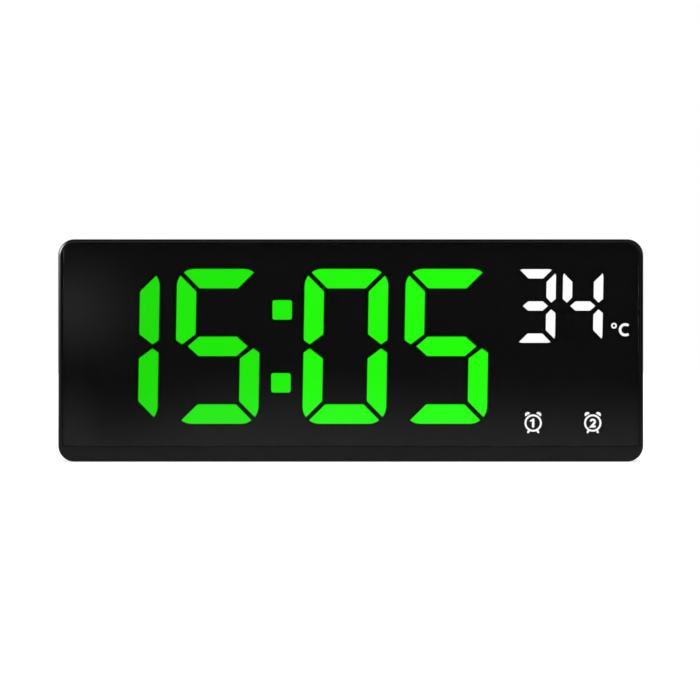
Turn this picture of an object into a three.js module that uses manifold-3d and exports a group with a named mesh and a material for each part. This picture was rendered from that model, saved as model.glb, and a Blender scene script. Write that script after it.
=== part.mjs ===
// A digital alarm clock: a low black case with a smoked flush window over a seven-segment
// display, three cells behind a door at the back, and four push buttons in a row above it.
// Millimetres, +Z up. The clock stands on its flat base at Z = 0 and its face looks along -Y.
// "Depth" is counted from the front face towards the back.
import * as THREE from 'three';
import { mergeVertices } from 'three/addons/utils/BufferGeometryUtils.js';
import Module from 'manifold-3d';

const wasm = await Module();
wasm.setup();

// Display: the big time digits, their colon, the small temperature digits and the signs
const timeDigit = {
  width: 23, height: 42.5, stroke: 5.45, gap: 1.05, cornerRadius: 4.2,
  tipSide: 1.75, tipGap: 0.48, innerShoulder: 3.3, outerShoulder: 1.7,
  barTip: 3.2, barShoulder: 6.3,
};
const smallDigit = {
  width: 11.25, height: 20.4, stroke: 2.8, gap: 1.1, cornerRadius: 2.3,
  tipSide: 1.34, tipGap: 0.77, innerShoulder: 2.3, outerShoulder: 1.85,
  barTip: 2, barShoulder: 3.6,
};
const digitLean = 0.0172;
const timeDigitGap = 4.61;
const colonSide = 5.5;
const colonCornerRadius = 0.75;
const colonSideGap = 3.22;
const colonSpread = 19.95;
const temperatureGap = 7.24;
const smallDigitGap = 1.7;
const degreeGap = 2.12;
const degreeRadius = 0.8;
const degreeStroke = 0.45;
const letterGap = 0.43;
const letterRadius = 1.85;
const letterStroke = 0.8;
const letterOpening = 55;
const letterLift = 1.84;
const signGap = 9.9;
const signPitch = 16.3;
const signRise = 0.2;
const signRingRadius = 2.38;
const signRingStroke = 0.55;
const bellRadius = 0.84;
const bellDistance = 2.66;
const bellAngle = 57;
const legStroke = 0.66;
const legAngle = 61;
const legLength = 0.9;
const numeralHeight = 2.5;
const numeralStroke = 0.6;

// Front: margins of the window round the display, and the frame round the window
const leftMargin = 3.36;
const rightMargin = 2.65;
const topMargin = 6.9;
const bottomMargin = 6.13;
const rimWidth = 1.15;
const chinHeight = 4.18;
const lensTopRadius = 3;
const lensBottomRadius = 1;
const lensClearance = 0.12;

// Layers behind the front face, front to back
const lensThickness = 1.5;
const maskThickness = 0.3;
const padHeight = 0.4;
const diffuserThickness = 0.4;
const lightBoxDepth = 5;
const boardThickness = 1.6;
const ledgeThickness = 1.2;
const boardToBayGap = 1.2;

// Case
const caseCornerRadius = 4.45;
const caseWall = 2;
const backWall = 2.4;
const frontEdgeRadius = 0.9;
const backEdgeRadius = 2;
const splitDepth = 13;
const lipLength = 1.5;
const lipThickness = 1;
const lipClearance = 0.2;

// Battery bay and door
const cellDiameter = 10.5;
const cellLength = 44.5;
const nubDiameter = 3.8;
const nubLength = 1.2;
const nubEdge = 0.2;
const cellEdge = 0.6;
const cellCount = 3;
const cellGap = 0.5;
const cellClearance = 0.3;
const bayWall = 1.2;
const bayRise = 6.4;
const contactThickness = 0.4;
const contactWidth = 8.6;
const contactGap = 0.3;
const springLength = 3.4;
const springTurns = 2.5;
const springWire = 0.6;
const springBaseRadius = 3.6;
const springTipRadius = 2.4;
const tailWidth = 3;
const tailReach = 1.6;
const doorThickness = 1.35;
const doorLap = 2;
const doorClearance = 0.15;
const doorCornerRadius = 1.2;
const doorTabWidth = 5;
const doorTabOffset = 16;
const doorTabDrop = 1.3;
const doorTabThickness = 0.9;
const latchWidth = 9;
const latchSlot = 0.8;
const latchLength = 6;
const latchRidge = 0.8;
const thumbRecessRadius = 6;
const thumbRecessDepth = 0.9;

// Buttons, switches and the button board
const buttonCount = 4;
const buttonPitch = 24;
const buttonLength = 11;
const buttonHeight = 5.5;
const buttonProud = 0.8;
const buttonEdgeRadius = 0.5;
const buttonClearance = 0.25;
const buttonTravel = 0.5;
const plungerTravel = buttonTravel / 2;
const flangeLap = 1.3;
const flangeThickness = 1;
const flangeGap = 0.2;
const stemDiameter = 3;
const stemLength = 1;
const plungerGap = 0.3;
const plungerDiameter = 3.5;
const plungerProud = 0.8;
const plungerSink = 0.7;
const switchSide = 6.2;
const switchHeight = 3.5;
const switchWellClearance = 0.2;
const buttonBoardThickness = 1.2;
const buttonBoardWidth = 129;
const buttonBoardHeight = 12;
const buttonBoardCorner = 1;

// Power socket, thermistor and openings in the back
const socketInset = 24;
const socketWidth = 7.8;
const socketHeight = 2.9;
const socketWall = 0.4;
const socketLength = 8.4;
const tongueWidth = 4.6;
const tongueThickness = 0.7;
const socketClearance = 0.3;
const socketNarrowRadius = 0.4;
const socketWideRadius = 1;
const tongueRecess = 0.6;
const thermistorInset = 24;
const beadDiameter = 2.4;
const beadStandoff = 3.2;
const beadLead = 0.5;
const ventCount = 4;
const ventLength = 10;
const ventWidth = 1.2;
const ventPitch = 2.6;
const soundHoleDiameter = 1.8;
const soundHolePitch = 3.2;

// Parts on the main board; an inset is counted from the board's nearer end
const chipLength = 2.2;
const chipWidth = 1.4;
const chipHeight = 0.7;
const controllerInset = 19;
const controllerZ = 32;
const controllerSize = [18, 7.5, 2];
const controllerLegs = 8;
const controllerLegReach = 1.4;
const crystalInset = 25;
const crystalZ = 22;
const crystalDiameter = 3;
const crystalLength = 8;
const capacitorInset = 11;
const capacitorZ = 22;
const capacitorDiameter = 6.3;
const capacitorHeight = 7.7;
const capacitorGroove = 0.4;
const capacitorGrooveRise = 0.9;
const buzzerInset = 23;
const buzzerZ = 20;
const buzzerDiameter = 12;
const buzzerHeight = 8;
const buzzerHole = 2;
const buzzerHoleDepth = 2;
const buzzerEdge = 0.5;
const ribbonInset = 35;
const ribbonWidth = 8;
const ribbonThickness = 0.7;
const ribbonDrop = 12;
const leadDiameter = 1.2;
const leadReach = 5;
const solderGap = 0.2;

// Screws and their bosses
const caseScrew = { head: 4, headHeight: 1.6, shank: 1.9, length: 11, hole: 2.3, pilot: 2.2 };
const boardScrew = { head: 3.4, headHeight: 1.3, shank: 1.6, length: 4, hole: 2, pilot: 1.8 };
const caseScrewInset = 10;
const caseScrewEdge = 4.8;
const caseBossDiameter = 5;
const rearBossDiameter = 7;
const counterboreDiameter = 4.7;
const screwSeatDepth = 18.5;
const boardScrewX = 38;
const boardPostDiameter = 4.4;
const boardEarWidth = 7;
const buttonBoardScrewX = 24;
const buttonBoardBoss = 5;
const boardEarLap = 1;
const headEdgeShare = 0.6;
const headTopShare = 0.7;
const recessShare = 0.6;
const recessWidth = 0.7;
const recessDepth = 0.7;
const pilotRunout = 0.4;
const bossGap = 0.2;

// Light box: how far it reaches past the windows, and its play in the front frame
const blockMargin = 0.5;
const signMargin = 0.3;
const blockSide = 1.9;
const blockClearance = 0.3;
const blockCornerRadius = 1;
const wellCornerRadius = 0.5;

// How deep two pieces of one moulding reach into each other before they are joined, and how far
// a cut runs on past the face that it goes through
const weld = 0.2;
const over = 1;

// How finely small round holes, coils and the round windows are cut
const holeSides = 8;
const coilSteps = 8;
const roundSteps = 16;

// Sizes that follow from the ones above
const lensWidth = leftMargin + 4 * timeDigit.width + 2 * timeDigitGap + 2 * colonSideGap
  + colonSide + temperatureGap + 2 * smallDigit.width + smallDigitGap + degreeGap
  + 2 * degreeRadius + letterGap + letterWidth() + rightMargin;
const lensHeight = topMargin + timeDigit.height + bottomMargin;
const caseWidth = lensWidth + 2 * rimWidth;
const caseHeight = chinHeight + lensHeight + rimWidth;
const lensBottom = chinHeight;
const lensTop = chinHeight + lensHeight;

const maskBack = lensThickness + maskThickness;
const padBack = maskBack + padHeight;
const diffuserBack = padBack + diffuserThickness;
const lightBoxBack = diffuserBack + lightBoxDepth;
const boardBack = lightBoxBack + boardThickness;
const plateBack = maskBack + ledgeThickness;
const bayFloorFront = boardBack + boardToBayGap;
const bayFloorBack = bayFloorFront + bayWall;
const cellAxisDepth = bayFloorBack + cellClearance + cellDiameter / 2;
const backInside = cellAxisDepth + cellDiameter / 2 + cellClearance;
const caseDepth = backInside + backWall;
const faceY = -(caseDepth + buttonProud) / 2;

const digitTop = lensTop - topMargin;
const digitMiddle = digitTop - timeDigit.height / 2;
const digitBottom = digitTop - timeDigit.height;
const smallMiddle = digitTop - smallDigit.height / 2;
const smallBottom = digitTop - smallDigit.height;
const hourTens = -lensWidth / 2 + leftMargin + timeDigit.width / 2;
const hourUnits = hourTens + timeDigit.width + timeDigitGap;
const colonX = hourUnits + timeDigit.width / 2 + colonSideGap + colonSide / 2;
const minuteTens = 2 * colonX - hourUnits;
const minuteUnits = minuteTens + timeDigit.width + timeDigitGap;
const temperatureTens = minuteUnits + timeDigit.width / 2 + temperatureGap + smallDigit.width / 2;
const temperatureUnits = temperatureTens + smallDigit.width + smallDigitGap;
const degreeX = temperatureUnits + smallDigit.width / 2 + degreeGap + degreeRadius;
const letterX = degreeX + degreeRadius + letterGap + letterRadius;
const letterZ = smallBottom + letterLift + letterRadius;
const degreeZ = letterZ + letterRadius - degreeRadius;
const signX = minuteUnits + timeDigit.width / 2 + signGap + signRingRadius;
const signZ = digitBottom + signRise;
const signBottom = signZ - signReach();

const blockLeft = -lensWidth / 2 + blockSide;
const blockRight = -blockLeft;
const blockTop = digitTop + blockMargin;
const blockBottom = signBottom - signMargin;

const controllerPlace = [blockLeft + controllerInset, controllerZ];
const crystalPlace = [blockLeft + crystalInset, crystalZ];
const capacitorPlace = [blockLeft + capacitorInset, capacitorZ];
const buzzerPlace = [blockRight - buzzerInset, buzzerZ];
const ribbonX = blockLeft + ribbonInset;
const socketX = caseWidth / 2 - socketInset;
const thermistorX = thermistorInset - caseWidth / 2;

const bayHalf = (cellLength + springLength + 2 * contactThickness + 2 * contactGap) / 2;
const bayHeight = cellCount * cellDiameter + (cellCount + 1) * cellGap;
const bayTop = bayRise + bayHeight;
const buttonZ = (bayTop + bayWall + caseHeight - caseWall) / 2;
const flangeBack = backInside - flangeGap;
const flangeFront = flangeBack - flangeThickness;
const stemFront = flangeFront - stemLength;
const plungerBack = stemFront - plungerGap;
const switchBack = plungerBack - plungerProud;
const buttonBoardBack = switchBack - switchHeight;
const buttonBoardFront = buttonBoardBack - buttonBoardThickness;
const screwX = caseWidth / 2 - caseScrewInset;
const screwTop = caseHeight - caseScrewEdge;
const screwBottom = caseScrewEdge - bossGap;

const finishes = {
  caseGloss: { color: 0x141414, roughness: 0.18, metalness: 0 },
  caseSatin: { color: 0x1b1b1b, roughness: 0.45, metalness: 0 },
  smokedLens: { color: 0x0b0c0b, roughness: 0.05, metalness: 0, transparent: true, opacity: 0.45 },
  maskInk: { color: 0x060606, roughness: 0.6, metalness: 0 },
  greenLight: { color: 0x27e814, roughness: 0.5, metalness: 0 },
  whiteLight: { color: 0xf6f6f6, roughness: 0.5, metalness: 0 },
  lightBox: { color: 0xe9e9e4, roughness: 0.6, metalness: 0 },
  board: { color: 0x1d5b36, roughness: 0.5, metalness: 0 },
  epoxy: { color: 0x1a1a1c, roughness: 0.5, metalness: 0 },
  can: { color: 0xb9bcc0, roughness: 0.3, metalness: 1 },
  steel: { color: 0xa9abae, roughness: 0.35, metalness: 1 },
  zincedSteel: { color: 0x8f9296, roughness: 0.4, metalness: 1 },
  cellJacket: { color: 0x3d6f8f, roughness: 0.3, metalness: 0.2 },
  switchBase: { color: 0x2a2a2c, roughness: 0.6, metalness: 0 },
  plunger: { color: 0xd8d4c8, roughness: 0.5, metalness: 0 },
  ribbon: { color: 0xd9dade, roughness: 0.5, metalness: 0 },
  redLead: { color: 0xb3201c, roughness: 0.5, metalness: 0 },
  blackLead: { color: 0x1a1a1a, roughness: 0.5, metalness: 0 },
  bead: { color: 0x2f3b2c, roughness: 0.4, metalness: 0 },
};

const clock = new THREE.Group();

function addPart(name, body, finish) {
  const mesh = body.getMesh();
  const geometry = new THREE.BufferGeometry();
  geometry.setAttribute('position', new THREE.BufferAttribute(mesh.vertProperties, 3));
  geometry.setIndex(new THREE.BufferAttribute(mesh.triVerts, 1));
  geometry.computeVertexNormals();
  const part = new THREE.Mesh(geometry, new THREE.MeshStandardMaterial(finish));
  part.name = name;
  clock.add(part);
}

// Turns a closed geometry into a solid that can be joined and cut
function solid(geometry) {
  const bare = geometry.clone();
  bare.deleteAttribute('normal');
  bare.deleteAttribute('uv');
  const merged = mergeVertices(bare);
  return new wasm.Manifold(new wasm.Mesh({
    numProp: 3,
    vertProperties: new Float32Array(merged.attributes.position.array),
    triVerts: new Uint32Array(merged.index.array),
  }));
}

function join(pieces) {
  return pieces.reduce((whole, piece) => whole.add(piece));
}

function cut(body, tools) {
  return tools.reduce((rest, tool) => rest.subtract(tool), body);
}

// Points of an arc in the plane of the face, angles in degrees
function arc(x, z, radius, from, to, steps) {
  return Array.from({ length: steps + 1 }, (_, i) => {
    const angle = THREE.MathUtils.degToRad(from + (to - from) * i / steps);
    return new THREE.Vector2(x + radius * Math.cos(angle), z + radius * Math.sin(angle));
  });
}

function roundedRect(left, bottom, right, top, topRadius, bottomRadius = topRadius, steps = 4) {
  return new THREE.Shape([
    ...arc(right - topRadius, top - topRadius, topRadius, 0, 90, steps),
    ...arc(left + topRadius, top - topRadius, topRadius, 90, 180, steps),
    ...arc(left + bottomRadius, bottom + bottomRadius, bottomRadius, 180, 270, steps),
    ...arc(right - bottomRadius, bottom + bottomRadius, bottomRadius, 270, 360, steps),
  ]);
}

// A bar with round ends from one point to another
function bar(fromX, fromZ, toX, toZ, width, steps = 4) {
  const angle = THREE.MathUtils.radToDeg(Math.atan2(toZ - fromZ, toX - fromX));
  return new THREE.Shape([
    ...arc(toX, toZ, width / 2, angle - 90, angle + 90, steps),
    ...arc(fromX, fromZ, width / 2, angle + 90, angle + 270, steps),
  ]);
}

// Part of a ring between two angles
function ringPart(x, z, radius, stroke, from, to, steps) {
  return new THREE.Shape([
    ...arc(x, z, radius, from, to, steps),
    ...arc(x, z, radius - stroke, to, from, steps),
  ]);
}

function ring(x, z, radius, stroke, steps) {
  const shape = new THREE.Shape(arc(x, z, radius, 0, 360 - 360 / steps, steps - 1));
  shape.holes.push(new THREE.Path(arc(x, z, radius - stroke, 0, 360 - 360 / steps, steps - 1)));
  return shape;
}

// An outline drawn on the face, carried from one depth to another
function slab(outline, from, to) {
  const geometry = new THREE.ExtrudeGeometry(outline, { depth: to - from, bevelEnabled: false });
  geometry.rotateX(Math.PI / 2).translate(0, faceY + to, 0);
  return solid(geometry);
}

function box(left, right, from, to, bottom, top) {
  const geometry = new THREE.BoxGeometry(right - left, to - from, top - bottom);
  geometry.translate((left + right) / 2, faceY + (from + to) / 2, (bottom + top) / 2);
  return solid(geometry);
}

// A round rod that runs from front to back
function rod(x, z, diameter, from, to, sides = 16) {
  const geometry = new THREE.CylinderGeometry(diameter / 2, diameter / 2, to - from, sides);
  geometry.translate(x, faceY + (from + to) / 2, z);
  return solid(geometry);
}

// A slab whose front or back edge is rounded; the other end is cut square
function roundedSlab(outline, from, to, radius, end, segments = 3) {
  const length = to - from;
  const geometry = new THREE.ExtrudeGeometry(outline, {
    depth: length, bevelEnabled: true, bevelThickness: radius, bevelSize: radius,
    bevelOffset: -radius, bevelSegments: segments,
  });
  const shift = end === 'front' ? to + radius : to - radius;
  geometry.rotateX(Math.PI / 2).translate(0, faceY + shift, 0);
  const far = caseWidth;
  const waste = end === 'front'
    ? box(-far, far, to, to + 3 * radius, -far, far)
    : box(-far, far, from - 3 * radius, from, -far, far);
  return solid(geometry).subtract(waste);
}

// A turned piece on an axis from front to back: its profile is a list of [radius, depth]
function turned(x, z, profile, sides = 16) {
  const points = profile.map(([radius, depth]) => new THREE.Vector2(radius, depth));
  const geometry = new THREE.LatheGeometry(points, sides);
  geometry.translate(x, faceY, z);
  return solid(geometry);
}

function letterWidth() {
  return letterRadius * (1 + Math.cos(THREE.MathUtils.degToRad(letterOpening)));
}

// How far a sign's legs reach below its centre
function signReach() {
  const angle = THREE.MathUtils.degToRad(legAngle);
  return (signRingRadius + legLength - legStroke / 2) * Math.sin(angle) + legStroke / 2;
}

// The seven segments of a digit, each a list of points leaning with its height. The mitres run at
// 45 degrees, and the digit's four outer corners are round.
function segments(x, z, digit, cornerSteps) {
  const w = digit.width / 2;
  const h = digit.height / 2;
  const s = digit.stroke;
  const r = digit.cornerRadius;
  const mitre = digit.gap / Math.SQRT2;
  const half = THREE.MathUtils.radToDeg(Math.asin(digit.gap / (2 * r)));
  const corner = (from, to) => arc(w - r, h - r, r, from, to, cornerSteps).map((p) => [p.x, p.y]);
  const overBar = corner(90, 45 + half);
  const top = [
    [-(w - s - mitre), h - s], ...overBar.map(([px, pz]) => [-px, pz]).reverse(),
    ...overBar, [w - s - mitre, h - s],
  ];
  const side = [
    ...corner(45 - half, 0), [w, digit.outerShoulder], [w - digit.tipSide, digit.tipGap],
    [w - s, digit.innerShoulder], [w - s, h - s - mitre],
  ];
  const middle = [
    [-w + digit.barTip, 0], [-w + digit.barShoulder, s / 2], [w - digit.barShoulder, s / 2],
    [w - digit.barTip, 0], [w - digit.barShoulder, -s / 2], [-w + digit.barShoulder, -s / 2],
  ];
  const turn = (points, signX, signZ) => points.map(([px, pz]) => [px * signX, pz * signZ]);
  const outlines = {
    a: top, b: side, c: turn(side, 1, -1), d: turn(top, 1, -1),
    e: turn(side, -1, -1), f: turn(side, -1, 1), g: middle,
  };
  return Object.values(outlines).map((points) => points.map(
    ([px, pz]) => new THREE.Vector2(x + px + pz * digitLean, z + pz),
  ));
}

// One square dot of the colon
function colonDot(side) {
  const dx = side * colonSpread / 2 * digitLean;
  const dz = side * colonSpread / 2;
  const half = colonSide / 2;
  const x = colonX + dx;
  const z = digitMiddle + dz;
  return roundedRect(x - half, z - half, x + half, z + half, colonCornerRadius, colonCornerRadius, 2)
    .getPoints();
}

function timeOutlines(cornerSteps) {
  return [
    ...[hourTens, hourUnits, minuteTens, minuteUnits]
      .flatMap((x) => segments(x, digitMiddle, timeDigit, cornerSteps)),
    colonDot(1), colonDot(-1),
  ];
}

function temperatureOutlines(cornerSteps) {
  return [temperatureTens, temperatureUnits]
    .flatMap((x) => segments(x, smallMiddle, smallDigit, cornerSteps));
}

const degreeWindow = arc(
  degreeX, degreeZ, degreeRadius + letterGap / 4, 0, 360 - 360 / roundSteps, roundSteps - 1,
);
const letterWindow = roundedRect(
  letterX - letterRadius - letterGap / 4, letterZ - letterRadius - letterGap / 4,
  letterX - letterRadius + letterWidth() + letterGap / 4, letterZ + letterRadius + letterGap / 4,
  letterRadius / 2,
).getPoints();

// The window in the mask that a whole alarm sign shows through
function signWindow(x) {
  const margin = signMargin / 2;
  const half = signRingRadius + margin;
  const bellTop = (bellDistance + bellRadius) * Math.sin(THREE.MathUtils.degToRad(bellAngle));
  return roundedRect(x - half, signBottom - margin, x + half, signZ + bellTop + margin, 1)
    .getPoints();
}

const signPlaces = [signX, signX + signPitch];
const signWindows = signPlaces.map(signWindow);

function pierced(outline, windows) {
  outline.holes.push(...windows.map((points) => new THREE.Path(points)));
  return outline;
}

function lensOutline(inset) {
  return roundedRect(
    -lensWidth / 2 + inset, lensBottom + inset, lensWidth / 2 - inset, lensTop - inset,
    lensTopRadius - inset, lensBottomRadius - inset,
  );
}

function caseOutline(inset) {
  return roundedRect(
    -caseWidth / 2 + inset, inset, caseWidth / 2 - inset, caseHeight - inset,
    caseCornerRadius - inset, caseCornerRadius - inset,
  );
}

function blockOutline(outset) {
  return roundedRect(
    blockLeft - outset, blockBottom - outset, blockRight + outset, blockTop + outset,
    blockCornerRadius, blockCornerRadius, 2,
  );
}

const casePlaces = [-1, 1].flatMap((side) => [[side * screwX, screwBottom], [side * screwX, screwTop]]);
const boardPlaces = [-1, 1].flatMap(
  (side) => [[side * boardScrewX, screwBottom], [side * boardScrewX, screwTop]],
);

// A web that ties a boss to the nearer of the case's floor and roof
function web(x, z, diameter, from, to) {
  const half = diameter / 2 - weld;
  return z < caseHeight / 2
    ? box(x - half, x + half, from, to, caseWall - weld, z)
    : box(x - half, x + half, from, to, z, caseHeight - caseWall + weld);
}

function frontFrame() {
  const shell = cut(roundedSlab(caseOutline(0), 0, splitDepth, frontEdgeRadius, 'front'), [
    slab(lensOutline(0), -over, maskBack),
    slab(blockOutline(blockClearance), maskBack - over, plateBack + over),
    slab(caseOutline(caseWall), plateBack, splitDepth + over),
  ]);
  const bosses = casePlaces.flatMap(([x, z]) => [
    rod(x, z, caseBossDiameter, plateBack - weld, splitDepth),
    web(x, z, caseBossDiameter, plateBack - weld, splitDepth),
  ]);
  const posts = boardPlaces.flatMap(([x, z]) => [
    rod(x, z, boardPostDiameter, plateBack - weld, lightBoxBack),
    web(x, z, boardPostDiameter, plateBack - weld, lightBoxBack),
  ]);
  const caseScrewTip = screwSeatDepth - caseScrew.length;
  const boardScrewTip = boardBack - boardScrew.length;
  return cut(join([shell, ...bosses, ...posts]), [
    ...casePlaces.map(([x, z]) => rod(
      x, z, caseScrew.pilot, caseScrewTip - pilotRunout, splitDepth + over, holeSides,
    )),
    ...boardPlaces.map(([x, z]) => rod(
      x, z, boardScrew.pilot, boardScrewTip - pilotRunout, lightBoxBack + over, holeSides,
    )),
  ]);
}

function frontLens() {
  return slab(lensOutline(lensClearance), 0, lensThickness);
}

function displayMask() {
  return slab(pierced(lensOutline(lensClearance), [
    ...timeOutlines(3), ...temperatureOutlines(2), degreeWindow, letterWindow, ...signWindows,
  ]), lensThickness, maskBack);
}

// A thin plate with a raised pad behind each of its windows
function diffuser(left, bottom, right, top, pads) {
  const outline = roundedRect(
    left, bottom, right, top, wellCornerRadius, wellCornerRadius, 1,
  );
  const plate = slab(outline, padBack, diffuserBack);
  return join([plate, ...pads.map((pad) => slab(pad, maskBack, padBack + weld))]);
}

const displaySplit = minuteUnits + timeDigit.width / 2 + temperatureGap / 2;
const signTop = signZ + signRingRadius + bellRadius + 2 * signMargin;

function timeDiffuser() {
  return diffuser(
    blockLeft, blockBottom, displaySplit - blockMargin, blockTop,
    timeOutlines(3).map((points) => new THREE.Shape(points)),
  );
}

function temperatureDiffuser() {
  return diffuser(
    displaySplit, smallBottom - blockMargin, blockRight, blockTop,
    [
      ...temperatureOutlines(2).map((points) => new THREE.Shape(points)),
      ring(degreeX, degreeZ, degreeRadius, degreeStroke, roundSteps),
      ringPart(letterX, letterZ, letterRadius, letterStroke, letterOpening, 360 - letterOpening, 10),
    ],
  );
}

// A bell: a half disc whose flat side faces the ring
function bell(x, side) {
  const angle = 90 - side * (90 - bellAngle);
  const out = THREE.MathUtils.degToRad(angle);
  return new THREE.Shape(arc(
    x + bellDistance * Math.cos(out), signZ + bellDistance * Math.sin(out), bellRadius,
    angle - 90, angle + 90, 6,
  ));
}

function leg(x, side) {
  const out = THREE.MathUtils.degToRad(legAngle);
  const near = signRingRadius - signRingStroke / 2;
  const far = signRingRadius + legLength - legStroke / 2;
  return bar(
    x + side * near * Math.cos(out), signZ - near * Math.sin(out),
    x + side * far * Math.cos(out), signZ - far * Math.sin(out), legStroke, 2,
  );
}

// The numerals' straight strokes and the radius of the 2's bend, as shares of half their height
const numeralHalf = (numeralHeight - numeralStroke) / 2;
const onePath = [[0, -1], [0.2, 1], [-0.75, 0.35]];
const twoPath = [[0.46, 0.07], [-0.6, -1], [0.65, -1]];
const twoBend = 0.58;
const twoBendFrom = -35;
const twoBendTo = 165;

function strokes(x, path) {
  const at = path.map(([px, pz]) => [x + px * numeralHalf, signZ + pz * numeralHalf]);
  return at.slice(1).map((end, i) => bar(...at[i], ...end, numeralStroke, 2));
}

function numeralOne(x) {
  return strokes(x, onePath);
}

function numeralTwo(x) {
  const bend = numeralHalf * twoBend;
  const middleZ = signZ + numeralHalf - bend;
  const outer = bend + numeralStroke / 2;
  return [
    ringPart(x, middleZ, outer, numeralStroke, twoBendFrom, twoBendTo, 6), ...strokes(x, twoPath),
  ];
}

function signDiffuser() {
  const numerals = [numeralOne, numeralTwo];
  const pads = signPlaces.flatMap((x, i) => [
    ring(x, signZ, signRingRadius, signRingStroke, roundSteps),
    bell(x, -1), bell(x, 1), leg(x, -1), leg(x, 1), ...numerals[i](x),
  ]);
  return diffuser(displaySplit, blockBottom, blockRight, signTop, pads);
}

// The white block behind the diffusers, with a well for each light
function lightBox() {
  const unitWell = roundedRect(
    degreeX - degreeRadius, letterZ - letterRadius,
    letterX - letterRadius + letterWidth(), letterZ + letterRadius,
    wellCornerRadius, wellCornerRadius, 1,
  ).getPoints();
  return slab(pierced(blockOutline(0), [
    ...timeOutlines(1), ...temperatureOutlines(1), unitWell, ...signWindows,
  ]), diffuserBack, lightBoxBack);
}

function middleOf(points) {
  const bounds = new THREE.Box2().setFromPoints(points);
  return bounds.getCenter(new THREE.Vector2());
}

// The main board with one light-emitting chip in each well
function mainBoard() {
  const plate = slab(blockOutline(0), lightBoxBack, boardBack);
  const ears = boardPlaces.map(([x, z]) => {
    const half = boardEarWidth / 2;
    const [low, high] = z < caseHeight / 2
      ? [caseWall + bossGap, blockBottom + boardEarLap]
      : [blockTop - boardEarLap, caseHeight - caseWall - bossGap];
    return box(x - half, x + half, lightBoxBack, boardBack, low, high);
  });
  const lights = [
    ...timeOutlines(1).map(middleOf), ...temperatureOutlines(1).map(middleOf),
    new THREE.Vector2(letterX - letterRadius / 2, letterZ),
    ...signPlaces.map((x) => new THREE.Vector2(x, signZ)),
  ];
  const chips = lights.map(({ x, y }) => box(
    x - chipWidth / 2, x + chipWidth / 2, lightBoxBack - chipHeight, lightBoxBack + weld,
    y - chipLength / 2, y + chipLength / 2,
  ));
  const holes = boardPlaces.map(
    ([x, z]) => rod(x, z, boardScrew.hole, lightBoxBack - over, boardBack + over, holeSides),
  );
  return cut(join([plate, ...ears, ...chips]), holes);
}

// A pan-head screw with a cross recess; facing 1 has its head towards the back, -1 to the front
function screwSolid(x, z, seat, size, facing) {
  const head = size.head / 2;
  const shank = size.shank / 2;
  const along = (distance) => seat + facing * distance;
  const profile = [
    [0, along(-size.length)], [shank, along(-size.length)], [shank, along(0)], [head, along(0)],
    [head, along(size.headHeight * headEdgeShare)], [head * headTopShare, along(size.headHeight)],
    [0, along(size.headHeight)],
  ];
  const body = turned(x, z, facing > 0 ? profile : profile.reverse(), 10);
  const top = along(size.headHeight + over);
  const floor = along(size.headHeight - recessDepth);
  const from = Math.min(top, floor);
  const to = Math.max(top, floor);
  const long = head * recessShare;
  const short = recessWidth / 2;
  return cut(body, [
    box(x - long, x + long, from, to, z - short, z + short),
    box(x - short, x + short, from, to, z - long, z + long),
  ]);
}

function controller() {
  const [x, z] = controllerPlace;
  const [length, height, thickness] = controllerSize;
  const front = boardBack + weld;
  const body = box(x - length / 2, x + length / 2, front, front + thickness, z - height / 2, z + height / 2);
  const pitch = length / controllerLegs;
  const legs = Array.from({ length: controllerLegs }, (_, i) => {
    const middle = x + (i - (controllerLegs - 1) / 2) * pitch;
    return box(
      middle - pitch / 5, middle + pitch / 5, boardBack, front + thickness / 3,
      z - height / 2 - controllerLegReach, z + height / 2 + controllerLegReach,
    );
  });
  return join([body, ...legs]);
}

function crystal() {
  const [x, z] = crystalPlace;
  const geometry = new THREE.CylinderGeometry(crystalDiameter / 2, crystalDiameter / 2, crystalLength, 12);
  geometry.rotateZ(Math.PI / 2).translate(x, faceY + boardBack + crystalDiameter / 2, z);
  const foot = box(
    x - crystalLength / 4, x + crystalLength / 4, boardBack, boardBack + crystalDiameter / 2,
    z - crystalDiameter / 4, z + crystalDiameter / 4,
  );
  return solid(geometry).add(foot);
}

function capacitor() {
  const [x, z] = capacitorPlace;
  const radius = capacitorDiameter / 2;
  const groove = boardBack + capacitorGrooveRise;
  const neck = radius - capacitorGroove;
  const top = boardBack + capacitorHeight;
  return turned(x, z, [
    [0, boardBack], [radius, boardBack], [radius, groove], [neck, groove + capacitorGroove],
    [radius, groove + 2 * capacitorGroove], [radius, top - capacitorGroove], [neck, top], [0, top],
  ]);
}

function buzzer() {
  const [x, z] = buzzerPlace;
  const radius = buzzerDiameter / 2;
  const top = boardBack + buzzerHeight;
  const hole = buzzerHole / 2;
  return turned(x, z, [
    [0, boardBack], [radius, boardBack], [radius, top - buzzerEdge], [radius - buzzerEdge, top],
    [hole, top], [hole, top - buzzerHoleDepth], [0, top - buzzerHoleDepth],
  ], 24);
}

const buttonPlaces = Array.from(
  { length: buttonCount }, (_, i) => (i - (buttonCount - 1) / 2) * buttonPitch,
);

function capsule(x, z, length, height) {
  return bar(x - (length - height) / 2, z, x + (length - height) / 2, z, height, 6);
}

function button(x) {
  const top = caseDepth + buttonProud;
  const cap = roundedSlab(
    capsule(x, buttonZ, buttonLength, buttonHeight), flangeBack - weld, top, buttonEdgeRadius, 'back', 2,
  );
  const flange = slab(
    capsule(x, buttonZ, buttonLength + 2 * flangeLap, buttonHeight + 2 * flangeLap),
    flangeFront, flangeBack,
  );
  return join([cap, flange, rod(x, buttonZ, stemDiameter, stemFront, flangeFront + weld)]);
}

function plunger(x) {
  return rod(x, buttonZ, plungerDiameter, switchBack - plungerSink, plungerBack);
}

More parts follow.
